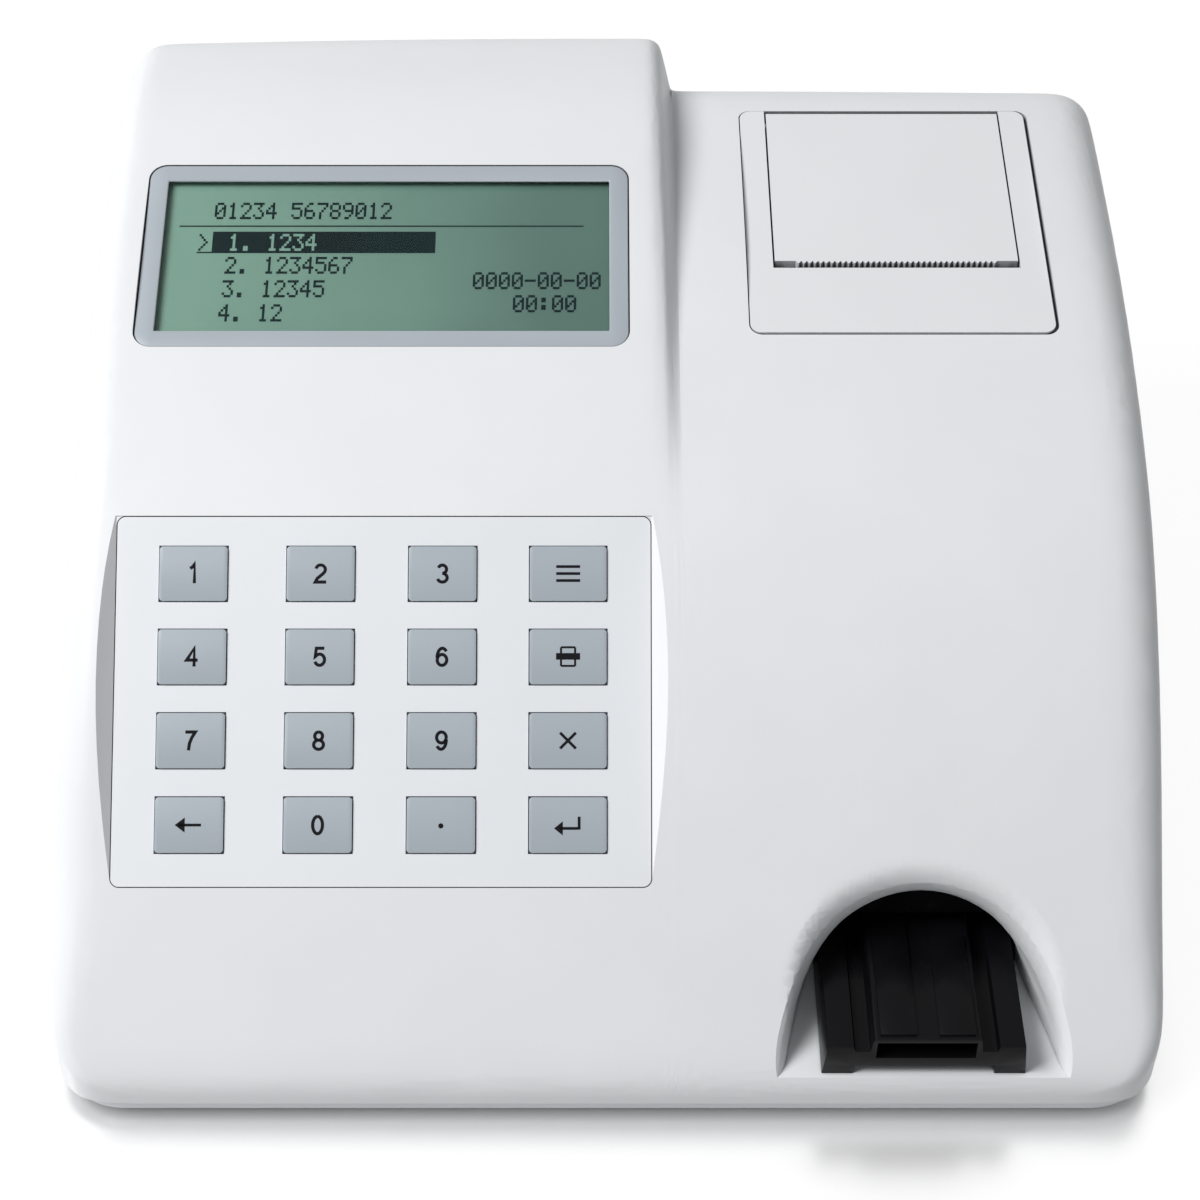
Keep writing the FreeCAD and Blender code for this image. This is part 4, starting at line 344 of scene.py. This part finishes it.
def soften(thing, width_mm):
    """Small moulded radius along the sharp edges of a CAD node or a piece."""
    weld = thing.modifiers.new("weld", "WELD")
    weld.merge_threshold = WELD
    bevel = thing.modifiers.new("soft_edges", "BEVEL")
    bevel.width = width_mm * MM
    bevel.segments = 2
    bevel.limit_method = "ANGLE"
    bevel.angle_limit = math.radians(35.0)
    bevel.use_clamp_overlap = True
    for polygon in thing.data.polygons:
        polygon.use_smooth = True


# ------------------------------------------------------------------------------------------ new pieces


def add_piece(name, mesh, finish, body):
    """Put a mesh in the scene as a piece that rides on a body."""
    piece = bpy.data.objects.new(name, mesh)
    bpy.context.scene.collection.objects.link(piece)
    piece.data.materials.append(FINISH[finish])
    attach(piece, body)
    return piece


def mesh_of(form, name, matrix=None):
    """Mesh of a finished form with its faces turned outwards."""
    bmesh.ops.recalc_face_normals(form, faces=form.faces)
    if matrix is not None:
        form.transform(matrix)
    mesh = bpy.data.meshes.new(name)
    form.to_mesh(mesh)
    form.free()
    return mesh


def welded(node):
    """Form of a CAD node with its doubled corners joined."""
    form = bmesh.new()
    form.from_mesh(NODES[node].data)
    bmesh.ops.remove_doubles(form, verts=form.verts, dist=WELD)
    return form


def carried(form, move, name, finish, body):
    """Piece made of a form with every corner moved by a rule."""
    form.verts.index_update()
    places = [move(vertex.co) for vertex in form.verts]
    faces = [[vertex.index for vertex in face.verts] for face in form.faces]
    form.free()
    mesh = bpy.data.meshes.new(name)
    mesh.from_pydata(places, [], faces)
    mesh.shade_smooth()
    mesh.set_sharp_from_angle(angle=CREASE)
    return add_piece(name, mesh, finish, body)


def flat_mesh(name, outlines, matrix, thick_mm):
    """Thin raised print: polygons in millimetres, given a thickness and carried to their plane."""
    form = bmesh.new()
    for outline in outlines:
        low = [form.verts.new((x * MM, y * MM, 0.0)) for x, y in outline]
        high = [form.verts.new((x * MM, y * MM, thick_mm * MM)) for x, y in outline]
        form.faces.new(high)
        form.faces.new(low[::-1])
        for k in range(len(outline)):
            after = (k + 1) % len(outline)
            form.faces.new((low[k], low[after], high[after], high[k]))
    return mesh_of(form, name, matrix)


# ------------------------------------------------------------------------------------------ casing skin

# Upper casing as the machine shows it: its back leans forward, its left side leans in and its step falls
# steeply. WALL, START, FOOT, TOP, LEFT, RIGHT and RISE are places between which a move grows or fades; LEAN,
# DROP, BOW and SHIFT are the moves. The bow is what both ends of the back lean more, and the two DECK values
# are what the back does more beside the printer. In millimetres.
CASING_BACK = 136.0
CASING_HALF = 134.5
BACK_START = (68.0, 100.0)
BACK_FOOT = 44.0
BACK_TOP = 144.0
BACK_LEAN = 8.0
BACK_DROP = 3.0
BACK_BOW = (3.5, 2.5)
DECK_LEAN = 6.5
DECK_DROP = 3.0
SIDE_START = 120.0
SIDE_RISE = (12.0, 142.0)
SIDE_LEAN = 3.4
STEP_WALL = (14.5, 20.5)
STEP_LEFT = (16.0, 24.0)
STEP_RIGHT = (26.0, 34.0)
STEP_RISE = (60.0, 80.0)
STEP_SHIFT = 4.0

# Mouth of the strip port, on a slope that starts at the front: half its width, its height along the slope,
# how far its top is lifted, how deep the rolled band is, how wide it is as a share of the mouth, how steeply
# it falls, and the place under the slope where the moves end.
PORT_X = 76.0
PORT_FLOOR = 14.5
SLOPE_FOOT = 13.7
SLOPE = math.radians(47.5)
MOUTH_HALF = 35.6
MOUTH_RISE = 42.4
MOUTH_LIFT = 2.9
MOUTH_DIP = 7.0
MOUTH_REACH = 0.25
MOUTH_FALL = 1.8
MOUTH_DEEP = -16.0


def ease(share):
    """Smooth step from 0 to 1."""
    share = min(max(share, 0.0), 1.0)
    return share * share * (3 - 2 * share)


def part_of(number, low, high):
    """Share of the way from one number to another, held between 0 and 1."""
    return min(max((number - low) / (high - low), 0.0), 1.0)


def lean(place):
    """Carry a point of the upper casing with its leaning back and side and its steeper step."""
    x, y, z = place
    over = ease(part_of(x, *STEP_WALL))
    start = BACK_START[0] + (BACK_START[1] - BACK_START[0]) * over
    share = ease(part_of(y, start, CASING_BACK)) * part_of(z, BACK_FOOT, BACK_TOP)
    bow = BACK_BOW[x > 0.0] * (x / CASING_HALF) ** 2
    forward = BACK_LEAN + bow + DECK_LEAN * over
    drop = BACK_DROP + DECK_DROP * over
    inward = SIDE_LEAN * ease(part_of(-x, SIDE_START, CASING_HALF)) * part_of(z, *SIDE_RISE)
    beside = ease(part_of(x, *STEP_LEFT)) * (1.0 - ease(part_of(x, *STEP_RIGHT)))
    step = STEP_SHIFT * beside * ease(part_of(z, *STEP_RISE))
    return Vector((x + inward - step, y - forward * share, z - drop * share))


def roll_mouth(place):
    """Lift the top of the strip port's mouth up the slope and roll the slope into it."""
    x, y, z = place
    along = (y + CASING_BACK) * math.cos(SLOPE) + (z - SLOPE_FOOT) * math.sin(SLOPE)
    above = (z - SLOPE_FOOT) * math.cos(SLOPE) - (y + CASING_BACK) * math.sin(SLOPE)
    foot = (PORT_FLOOR - SLOPE_FOOT) / math.sin(SLOPE)
    if not MOUTH_DEEP < above < 2.0:
        return place
    aside, rise = (x - PORT_X) / MOUTH_HALF, (along - foot) / MOUTH_RISE
    out = math.hypot(aside, rise)
    crown = ease(part_of(rise / max(out, 0.01), 0.25, 0.9)) * ease(part_of(rise, 0.1, 0.4))
    lift = MOUTH_LIFT * crown * ease(part_of(-out, -1.3, -1.0)) * part_of(above, MOUTH_DEEP, -5.0)
    lifted = math.hypot(aside, rise + lift / MOUTH_RISE)
    rim = 0.95 + 0.07 * crown
    band = part_of(-lifted, -1.0 - MOUTH_REACH * crown, -rim) ** MOUTH_FALL
    dip = MOUTH_DIP * crown * band * part_of(above, -14.0, -3.0)
    return Vector((
        x,
        y + lift * math.cos(SLOPE) + dip * math.sin(SLOPE),
        z + lift * math.sin(SLOPE) - dip * math.cos(SLOPE),
    ))


def cut_across(form, axis, places, low, high):
    """Cut the faces inside a box by planes across an axis, so that they can bend."""
    normal = Vector([float(k == axis) for k in range(3)])
    faces = [
        face for face in form.faces
        if all(min(v.co[k] for v in face.verts) < high[k] * MM for k in range(3))
        and all(max(v.co[k] for v in face.verts) > low[k] * MM for k in range(3))
    ]
    edges = {edge for face in faces for edge in face.edges}
    points = {vertex for face in faces for vertex in face.verts}
    pieces = list(points) + list(edges) + faces
    for place in places:
        pieces = bmesh.ops.bisect_plane(
            form, geom=pieces, dist=1e-7, plane_co=normal * place * MM, plane_no=normal
        )["geom"]


def evenly(first, pitch, count):
    """Places one pitch apart."""
    return [first + pitch * k for k in range(count)]


def casing_skin():
    """Upper casing's shape, cut finely where it bends, with a leaning back and side and a rolled mouth."""
    form = welded("top_casing")
    back = ((-140.0, 66.0, 40.0), (140.0, 140.0, 150.0))
    step = ((12.0, -60.0, 60.0), (36.0, 140.0, 150.0))
    mouth = ((30.0, -140.0, 12.0), (122.0, -88.0, 80.0))
    for axis, places, box in (
        (1, evenly(68.0, 4.0, 17) + [134.0, 135.0], back),
        (0, evenly(-130.0, 10.0, 27), back),
        (2, evenly(44.0, 10.0, 10), back),
        (0, evenly(15.0, 1.5, 14), step),
        (0, evenly(34.0, 1.5, 57), mouth),
        (1, evenly(-136.0, 1.25, 38), mouth),
    ):
        cut_across(form, axis, places, *box)
    skin = carried(
        form, lambda place: roll_mouth(lean(place / MM)) * MM, "casing_skin", "casing", "casing"
    )
    evened = skin.modifiers.new("even_normals", "WEIGHTED_NORMAL")
    evened.keep_sharp = True
    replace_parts(skin, "top_casing")


# ------------------------------------------------------------------------------------------ printer cover

# How far the lid's front edge and the edge of its opening go back, where both are along Y, the hinge's axis
# on the printer's plane, how far its round barrel may be filled towards a corner, and how near its axis the
# barrel stays as it is.
SLOT_BACK = 3.1
SLOT_EDGE = 2.1
LID_FRONT = 37.6
OPENING_FRONT = (35.1, 36.3)
HINGE = (38.6, -3.0)
BARREL_FILL = 1.22
AXIS_NEAR = 0.01


def lid_place(place):
    """Front edge of the paper lid further back, and its hinge edge fuller."""
    flat = PRINTER_INVERSE @ place
    if place.y < LID_FRONT * MM:
        flat.y += SLOT_BACK * MM
    along, above = flat.y - HINGE[0] * MM, flat.z - HINGE[1] * MM
    if min(along, above) > AXIS_NEAR * MM:
        fill = min(math.hypot(along, above) / max(along, above), BARREL_FILL)
        flat.y, flat.z = HINGE[0] * MM + along * fill, HINGE[1] * MM + above * fill
    return PRINTER_MATRIX @ flat


def bezel_place(place):
    """Front edge of the opening for the lid further back."""
    flat = PRINTER_INVERSE @ place
    if OPENING_FRONT[0] < place.y / MM < OPENING_FRONT[1]:
        flat.y += SLOT_EDGE * MM
    return PRINTER_MATRIX @ flat


def reshaped(node, move, body):
    """Copy of a printer part's shape, moved by a rule, that stands for the part."""
    piece = carried(welded(node), move, node + "_shape", "lid", body)
    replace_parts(piece, node)
    return piece


def printer_cover():
    """Paper lid and its surround with a wider paper slot between them."""
    reshaped("paper_lid", lid_place, "lid")
    soften(reshaped("printer_bezel", bezel_place, "casing"), 0.3)


# ------------------------------------------------------------------------------------------ keys

# Pitch of the rows, shift of the grid up the panel, height of the caps, their edges' radius and the columns.
KEY_PITCH = 20.2
KEY_SHIFT = 0.4
KEY_PROUD = 0.5
KEY_ROUND = 0.28
COLUMNS = (-46.0, -15.2, 14.3, 44.7)
KEYS = [
    ("key_1", 0, 0, "1"),
    ("key_2", 1, 0, "2"),
    ("key_3", 2, 0, "3"),
    ("key_menu", 3, 0, "menu"),
    ("key_4", 0, 1, "4"),
    ("key_5", 1, 1, "5"),
    ("key_6", 2, 1, "6"),
    ("key_print", 3, 1, "print"),
    ("key_7", 0, 2, "7"),
    ("key_8", 1, 2, "8"),
    ("key_9", 2, 2, "9"),
    ("key_cancel", 3, 2, "cancel"),
    ("key_back", 0, 3, "back"),
    ("key_0", 1, 3, "0"),
    ("key_point", 2, 3, "point"),
    ("key_enter", 3, 3, "enter"),
]


def bar(x0, y0, x1, y1, width):
    """Stroke from one point to another as a four-sided outline."""
    along = Vector((x1 - x0, y1 - y0)).normalized()
    side = Vector((-along.y, along.x)) * width / 2
    return [
        (x0 - side.x, y0 - side.y),
        (x1 - side.x, y1 - side.y),
        (x1 + side.x, y1 + side.y),
        (x0 + side.x, y0 + side.y),
    ]


def disc(x, y, radius, sides=24):
    """Round outline."""
    turn = 2 * math.pi / sides
    return [(x + radius * math.cos(k * turn), y + radius * math.sin(k * turn)) for k in range(sides)]


def icon(kind):
    """Outlines of the plain signs that stand on the command keys, in millimetres."""
    stroke, thin = 0.68, 0.5
    if kind == "menu":
        return [bar(-2.9, y, 2.9, y, stroke) for y in (-1.7, 0.0, 1.7)]
    if kind == "print":
        half = 1.7
        sheet, slip = (
            [
                bar(-half, edge, half, edge, thin),
                bar(-half, edge, -half, start, thin),
                bar(half, edge, half, start, thin),
            ]
            for edge, start in ((2.3, 0.9), (-2.2, -0.7))
        )
        return sheet + [bar(-2.9, 0.1, 2.9, 0.1, 1.6)] + slip
    if kind == "cancel":
        return [
            bar(-1.9, -1.9, 1.9, 1.9, stroke),
            bar(-1.9, 1.9, -0.25, 0.25, stroke),
            bar(0.25, -0.25, 1.9, -1.9, stroke),
        ]
    if kind == "back":
        return [bar(-2.6, 0.0, 2.9, 0.0, stroke), [(-1.0, 1.8), (-3.4, 0.0), (-1.0, -1.8)]]
    if kind == "enter":
        return [
            bar(2.7, 2.0, 2.7, -1.11, stroke),
            bar(-1.8, -0.8, 2.39, -0.8, stroke),
            [(-1.2, 0.9), (-3.3, -0.8), (-1.2, -2.5)],
        ]
    return [disc(0.0, -0.2, 0.62)]


def arc(x, y, across, high, start, end, steps=14):
    """Points on an ellipse from one angle to another, in degrees."""
    turns = [math.radians(start + (end - start) * k / steps) for k in range(steps + 1)]
    return [(x + across * math.cos(turn), y + high * math.sin(turn)) for turn in turns]


# Figures of the keys as strokes on a field 1 high, its middle at the origin.
FIGURES = {
    "0": [arc(0.0, 0.0, 0.25, 0.44, 90, 450, 28)],
    "1": [[(-0.17, 0.27), (-0.06, 0.33), (0.03, 0.44), (0.06, 0.5), (0.06, -0.5)]],
    "2": [
        arc(0.0, 0.21, 0.24, 0.235, 170, -28)
        + [(0.12, -0.01), (-0.17, -0.25), (-0.27, -0.44), (0.29, -0.44)]
    ],
    "3": [arc(-0.01, 0.225, 0.215, 0.215, 160, -90), arc(-0.01, -0.215, 0.25, 0.225, 90, -165)],
    "4": [[(0.12, -0.5), (0.12, 0.44), (-0.27, -0.17), (0.3, -0.17)]],
    "5": [[(0.24, 0.44), (-0.17, 0.44), (-0.23, 0.0)] + arc(0.0, -0.15, 0.255, 0.29, 145, -160)],
    "6": [arc(0.0, -0.16, 0.245, 0.28, 170, -190, 28), arc(0.02, -0.05, 0.27, 0.49, 180, 42)],
    "7": [[(-0.26, 0.44), (0.25, 0.44), (0.08, 0.17), (-0.04, -0.13), (-0.09, -0.5)]],
    "8": [arc(0.0, 0.23, 0.2, 0.21, 90, 450, 24), arc(0.0, -0.21, 0.25, 0.235, 90, 450, 28)],
    "9": [arc(0.0, 0.16, 0.245, 0.28, -10, 350, 28), arc(-0.02, 0.05, 0.27, 0.49, 0, -138)],
}
FIGURE_HIGH = 4.7
FIGURE_STROKE = 0.78


def ribbon_mesh(name, paths, width, matrix, thick_mm):
    """Strokes of one width along open paths, in millimetres, as thin raised print carried to its plane."""
    form = bmesh.new()
    for path in paths:
        points = [Vector(point) for point in path]
        rows = []
        for k, point in enumerate(points):
            before, after = points[max(k - 1, 0)], points[min(k + 1, len(points) - 1)]
            come = (point - before).normalized() if k else (after - point).normalized()
            go = (after - point).normalized() if k < len(points) - 1 else come
            middle = (come + go).normalized()
            reach = width / 2 / max(middle.dot(come), 0.45)
            side = Vector((-middle.y, middle.x)) * reach
            corners = [
                ((point.x + way * side.x) * MM, (point.y + way * side.y) * MM, up * thick_mm * MM)
                for way, up in ((-1, 0), (1, 0), (1, 1), (-1, 1))
            ]
            rows.append([form.verts.new(corner) for corner in corners])
        for low, high in zip(rows, rows[1:]):
            for k in range(4):
                form.faces.new((low[k], low[(k + 1) % 4], high[(k + 1) % 4], high[k]))
        form.faces.new(rows[0][::-1])
        form.faces.new(rows[-1])
    return mesh_of(form, name, matrix)


def key_legends():
    """Figures and signs printed on the caps of the keys."""
    print_thick = 0.03
    for name, column, row, sign in KEYS:
        place = plane_matrix(KEYPAD, COLUMNS[column], KEY_SHIFT + (1.5 - row) * KEY_PITCH, KEY_PROUD)
        legend = name.replace("key_", "legend_")
        if sign in FIGURES:
            paths = [[(x * FIGURE_HIGH, y * FIGURE_HIGH) for x, y in path] for path in FIGURES[sign]]
            mesh = ribbon_mesh(legend, paths, FIGURE_STROKE, place, print_thick)
        else:
            mesh = flat_mesh(legend, icon(sign), place, print_thick)
        add_piece(legend, mesh, "legend", name)


# ------------------------------------------------------------------------------------------ display

# Depth of the display's glass under its frame, its thickness and half its size; pitch of its dots across, how
# much taller they are, how far they overlap their neighbours and how thick they are.
DISPLAY_DROP = 2.6
DISPLAY_THICK = 1.6
DISPLAY_HALF = (58.3, 24.7)
DOT = 0.55
DOT_ASPECT = 1.38
DOT_SPREAD = 0.08
DOT_THICK = 0.012

# Figures of the display on a grid of five by seven dots, one string for each row.
DOTS = {
    "0": (".###.", "#...#", "#..##", "#.#.#", "##..#", "#...#", ".###."),
    "1": ("..#..", ".##..", "..#..", "..#..", "..#..", "..#..", ".###."),
    "2": (".###.", "#...#", "....#", "...#.", "..#..", ".#...", "#####"),
    "3": ("#####", "...#.", "..#..", "...#.", "....#", "#...#", ".###."),
    "4": ("...#.", "..##.", ".#.#.", "#..#.", "#####", "...#.", "...#."),
    "5": ("#####", "#....", "####.", "....#", "....#", "#...#", ".###."),
    "6": ("..##.", ".#...", "#....", "####.", "#...#", "#...#", ".###."),
    "7": ("#####", "....#", "...#.", "..#..", ".#...", ".#...", ".#..."),
    "8": (".###.", "#...#", "#...#", ".###.", "#...#", "#...#", ".###."),
    "9": (".###.", "#...#", "#...#", ".####", "....#", "...#.", ".##.."),
    "-": (".....", ".....", ".....", "#####", ".....", ".....", "....."),
    ".": (".....", ".....", ".....", ".....", ".....", ".##..", ".##.."),
    ":": (".....", ".##..", ".##..", ".....", ".##..", ".##..", "....."),
    ">": ("#....", ".#...", "..#..", "...#.", "..#..", ".#...", "#...."),
    " ": (".....",) * 7,
}


def dot_line(text, left, middle):
    """Rows of lit dots of one line of figures, in millimetres, a run of neighbours as one bar."""
    bars = []
    high = DOT * DOT_ASPECT
    for place, figure in enumerate(text):
        for row, line in enumerate(DOTS[figure]):
            base = middle + (2.5 - row) * high
            for run in re.finditer("#+", line):
                start = left + (place * 6 + run.start() - DOT_SPREAD) * DOT
                end = left + (place * 6 + run.end() + DOT_SPREAD) * DOT
                bars.append(box_outline(start, base, end, base + high))
    return bars


def box_outline(x0, y0, x1, y1):
    """Rectangle between two corners."""
    return [(x0, y0), (x1, y0), (x1, y1), (x0, y1)]


def display_plate():
    """Glass of the display, wide enough to fill the window from edge to edge."""
    place = plane_matrix(DISPLAY, 0.0, 0.0, -DISPLAY_DROP - DISPLAY_THICK)
    wide, high = DISPLAY_HALF
    mesh = flat_mesh("display_plate", [box_outline(-wide, -high, wide, high)], place, DISPLAY_THICK)
    plate = add_piece("display_plate", mesh, "display", "casing")
    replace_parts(plate, "display_glass")


def display_content():
    """Plain figures, a rule and a marked line on the display, as dots laid on its glass."""
    dark = [
        box_outline(-53.6, 10.3, 50.5, 10.75),
        box_outline(-44.8, 2.0, 12.5, 8.8),
        box_outline(-48.6, 2.0, -44.8, 2.45),
    ]
    for text, left, middle in (
        ("01234 56789012", -44.8, 15.4),
        (">", -48.2, 5.4),
        ("2. 1234567", -41.0, -1.8),
        ("3. 12345", -41.2, -9.1),
        ("4. 12", -41.6, -16.5),
        ("0000-00-00", 22.4, -6.6),
        ("00:00", 32.7, -13.7),
    ):
        dark += dot_line(text, left, middle)
    light = dot_line("1. 1234", -40.6, 5.4)
    for name, outlines, rise, finish in (
        ("display_dots", dark, 0.0, "segment"),
        ("display_marked_dots", light, DOT_THICK, "display"),
    ):
        place = plane_matrix(DISPLAY, 0.0, 0.0, rise - DISPLAY_DROP)
        add_piece(name, flat_mesh(name, outlines, place, DOT_THICK), finish, "casing")


# ------------------------------------------------------------------------------------------ rear sockets

# Sockets with the pins in their upper and lower rows; sizes in millimetres.
SOCKETS = (("serial_port", 5, 4), ("printer_port", 13, 12))
SOCKET_FACE = 136.0
SOCKET_WALL = 0.8
SOCKET_RECESS = 1.5
INSERT_THICK = 0.2
PIN_PITCH = 2.76
PIN_ROW = 2.84
PIN_RADIUS = 0.5
PIN_TALL = 0.9


def prism(form, outline, low, high):
    """Closed form between two places along Y, from an outline in X and Z."""
    near = [form.verts.new((x * MM, low * MM, z * MM)) for x, z in outline]
    far = [form.verts.new((x * MM, high * MM, z * MM)) for x, z in outline]
    for index in range(len(outline)):
        after = (index + 1) % len(outline)
        form.faces.new((near[index], near[after], far[after], far[index]))
    form.faces.new(near)
    form.faces.new(far)


def rear_sockets():
    """The two data sockets with a hollow shell, a dark insert and rows of pins."""
    for node, upper, lower in SOCKETS:
        shell = welded(node)
        front = [face for face in shell.faces if min(v.co.y for v in face.verts) > (SOCKET_FACE - 0.1) * MM]
        face = bmesh.ops.dissolve_faces(shell, faces=front)["region"]
        bmesh.ops.inset_region(shell, faces=face, thickness=SOCKET_WALL * MM, use_even_offset=True)
        floor = bmesh.ops.extrude_discrete_faces(shell, faces=face)["faces"]
        bmesh.ops.translate(shell, verts=floor[0].verts[:], vec=(0.0, -SOCKET_RECESS * MM, 0.0))
        outline = [(corner.co.x / MM, corner.co.z / MM) for corner in floor[0].verts]
        name = node + "_shell"
        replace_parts(add_piece(name, mesh_of(shell, name), "shell", "casing"), node)
        base = SOCKET_FACE - SOCKET_RECESS
        top = base + INSERT_THICK
        name = node + "_insert"
        insert = bmesh.new()
        prism(insert, outline, base, top)
        add_piece(name, mesh_of(insert, name), "dark", "casing")
        middle = sum(x for x, _ in outline) / len(outline)
        height = sum(z for _, z in outline) / len(outline)
        name = node + "_pins"
        pins = bmesh.new()
        for count, rise in ((upper, PIN_ROW / 2), (lower, -PIN_ROW / 2)):
            for index in range(count):
                x = middle + (index - (count - 1) / 2) * PIN_PITCH
                prism(pins, disc(x, height + rise, PIN_RADIUS, 12), top, top + PIN_TALL)
        add_piece(name, mesh_of(pins, name), "steel", "casing")


# ------------------------------------------------------------------------------------------ studio

# Floor: its side in metres, the tone that it sends light back with, how rough and strong its mirror is, how
# much of what the eye sees is glow and mirror, and the reach, span and tones of the contact shadow.
FLOOR_SIDE = 6.0
FLOOR_TONE = 0.62
FLOOR_GLOSS = 0.3
FLOOR_MIRROR = 0.78
FLOOR_SWEEP = 0.9
CONTACT_REACH = 0.02
CONTACT_SPAN = (0.1, 0.75)
CONTACT_TONES = (0.15, 1.3)
SURROUND_LIGHT = 0.2

# Lamps: place, side and power of each, all aimed at one point.
LAMP_TARGET = (0.0, 0.0, 0.05)
LAMPS = (
    ("key", (-1.22, -0.42, 1.72), 1.0, 43.5),
    ("front_fill", (0.1, -1.4, 0.7), 1.0, 0.7),
)

# Camera of the picture: in front of the machine, turned down.
CAMERA_PLACE = (-0.0017, -0.4706, 0.5129)
CAMERA_TILT = math.radians(45.0)
CAMERA_LENS = 73.8
CAMERA_FILM = 36.0


def either(nodes, links, first, second):
    """Larger of two values."""
    larger = nodes.new("ShaderNodeMath")
    larger.operation = "MAXIMUM"
    links.new(first, larger.inputs[0])
    links.new(second, larger.inputs[1])
    return larger.outputs["Value"]


def studio_floor():
    """White sweep under the machine that keeps its soft shadow and a faint reflection."""
    bpy.ops.mesh.primitive_plane_add(size=FLOOR_SIDE, location=(0.0, 0.0, 0.0))
    floor = bpy.context.object
    floor.name = "studio_floor"
    material = bpy.data.materials.new("studio_floor")
    material.use_nodes = True
    nodes, links = material.node_tree.nodes, material.node_tree.links
    nodes.clear()
    output = nodes.new("ShaderNodeOutputMaterial")
    matt = nodes.new("ShaderNodeBsdfDiffuse")
    matt.inputs["Color"].default_value = (FLOOR_TONE, FLOOR_TONE, FLOOR_TONE, 1)
    mirror = nodes.new("ShaderNodeBsdfGlossy")
    mirror.inputs["Color"].default_value = (1, 1, 1, 1)
    mirror.inputs["Roughness"].default_value = FLOOR_GLOSS
    glow = nodes.new("ShaderNodeEmission")
    glow.inputs["Color"].default_value = (1, 1, 1, 1)
    contact = nodes.new("ShaderNodeAmbientOcclusion")
    contact.inputs["Distance"].default_value = CONTACT_REACH
    contact.samples = 8
    fade = nodes.new("ShaderNodeMapRange")
    fade.inputs["From Min"].default_value, fade.inputs["From Max"].default_value = CONTACT_SPAN
    fade.inputs["To Min"].default_value, fade.inputs["To Max"].default_value = CONTACT_TONES
    links.new(contact.outputs["AO"], fade.inputs["Value"])
    links.new(fade.outputs["Result"], glow.inputs["Strength"])
    shown = nodes.new("ShaderNodeMixShader")
    shown.inputs["Fac"].default_value = FLOOR_MIRROR
    links.new(glow.outputs["Emission"], shown.inputs[1])
    links.new(mirror.outputs["BSDF"], shown.inputs[2])
    rays = nodes.new("ShaderNodeLightPath")
    seen = either(nodes, links, rays.outputs["Is Camera Ray"], rays.outputs["Is Glossy Ray"])
    share = nodes.new("ShaderNodeMath")
    share.operation = "MULTIPLY"
    share.inputs[1].default_value = FLOOR_SWEEP
    links.new(seen, share.inputs[0])
    mix = nodes.new("ShaderNodeMixShader")
    links.new(share.outputs["Value"], mix.inputs["Fac"])
    links.new(matt.outputs["BSDF"], mix.inputs[1])
    links.new(shown.outputs["Shader"], mix.inputs[2])
    links.new(mix.outputs["Shader"], output.inputs["Surface"])
    floor.data.materials.append(material)


def studio_world():
    """White surroundings for the eye, softer ones as light."""
    world = bpy.data.worlds.new("studio")
    bpy.context.scene.world = world
    world.use_nodes = True
    nodes, links = world.node_tree.nodes, world.node_tree.links
    nodes.clear()
    output = nodes.new("ShaderNodeOutputWorld")
    seen = nodes.new("ShaderNodeBackground")
    seen.inputs["Color"].default_value = (1, 1, 1, 1)
    seen.inputs["Strength"].default_value = 1.0
    light = nodes.new("ShaderNodeBackground")
    light.inputs["Color"].default_value = (0.95, 0.97, 1.0, 1)
    light.inputs["Strength"].default_value = SURROUND_LIGHT
    rays = nodes.new("ShaderNodeLightPath")
    direct = either(nodes, links, rays.outputs["Is Camera Ray"], rays.outputs["Is Glossy Ray"])
    mix = nodes.new("ShaderNodeMixShader")
    links.new(either(nodes, links, direct, rays.outputs["Is Transmission Ray"]), mix.inputs["Fac"])
    links.new(light.outputs["Background"], mix.inputs[1])
    links.new(seen.outputs["Background"], mix.inputs[2])
    links.new(mix.outputs["Shader"], output.inputs["Surface"])


def soft_box(name, place, size, power):
    """Square lamp aimed at the machine."""
    light = bpy.data.lights.new(name, "AREA")
    light.shape = "SQUARE"
    light.size = size
    light.energy = power
    lamp = bpy.data.objects.new(name, light)
    bpy.context.scene.collection.objects.link(lamp)
    lamp.location = place
    lamp.rotation_euler = (Vector(LAMP_TARGET) - Vector(place)).to_track_quat("-Z", "Y").to_euler()


def camera():
    """Camera that sees the machine as the picture shows it."""
    data = bpy.data.cameras.new("camera")
    data.lens = CAMERA_LENS
    data.sensor_width = CAMERA_FILM
    data.sensor_fit = "HORIZONTAL"
    eye = bpy.data.objects.new("camera", data)
    bpy.context.scene.collection.objects.link(eye)
    eye.location = CAMERA_PLACE
    eye.rotation_euler = (CAMERA_TILT, 0.0, 0.0)
    bpy.context.scene.camera = eye


def studio():
    """Floor, surroundings, lamps and camera."""
    studio_floor()
    studio_world()
    for lamp in LAMPS:
        soft_box(*lamp)
    camera()
    bpy.context.scene.view_settings.view_transform = "Standard"


# ------------------------------------------------------------------------------------------ scene

dress_nodes()
casing_skin()
printer_cover()
rear_sockets()
for name, *_ in KEYS:
    soften(NODES[name], KEY_ROUND)
for name, width in (("display_bezel", 0.35), ("strip_platform", 0.35), ("port_liner", 0.3)):
    soften(NODES[name], width)
key_legends()
display_plate()
display_content()
studio()
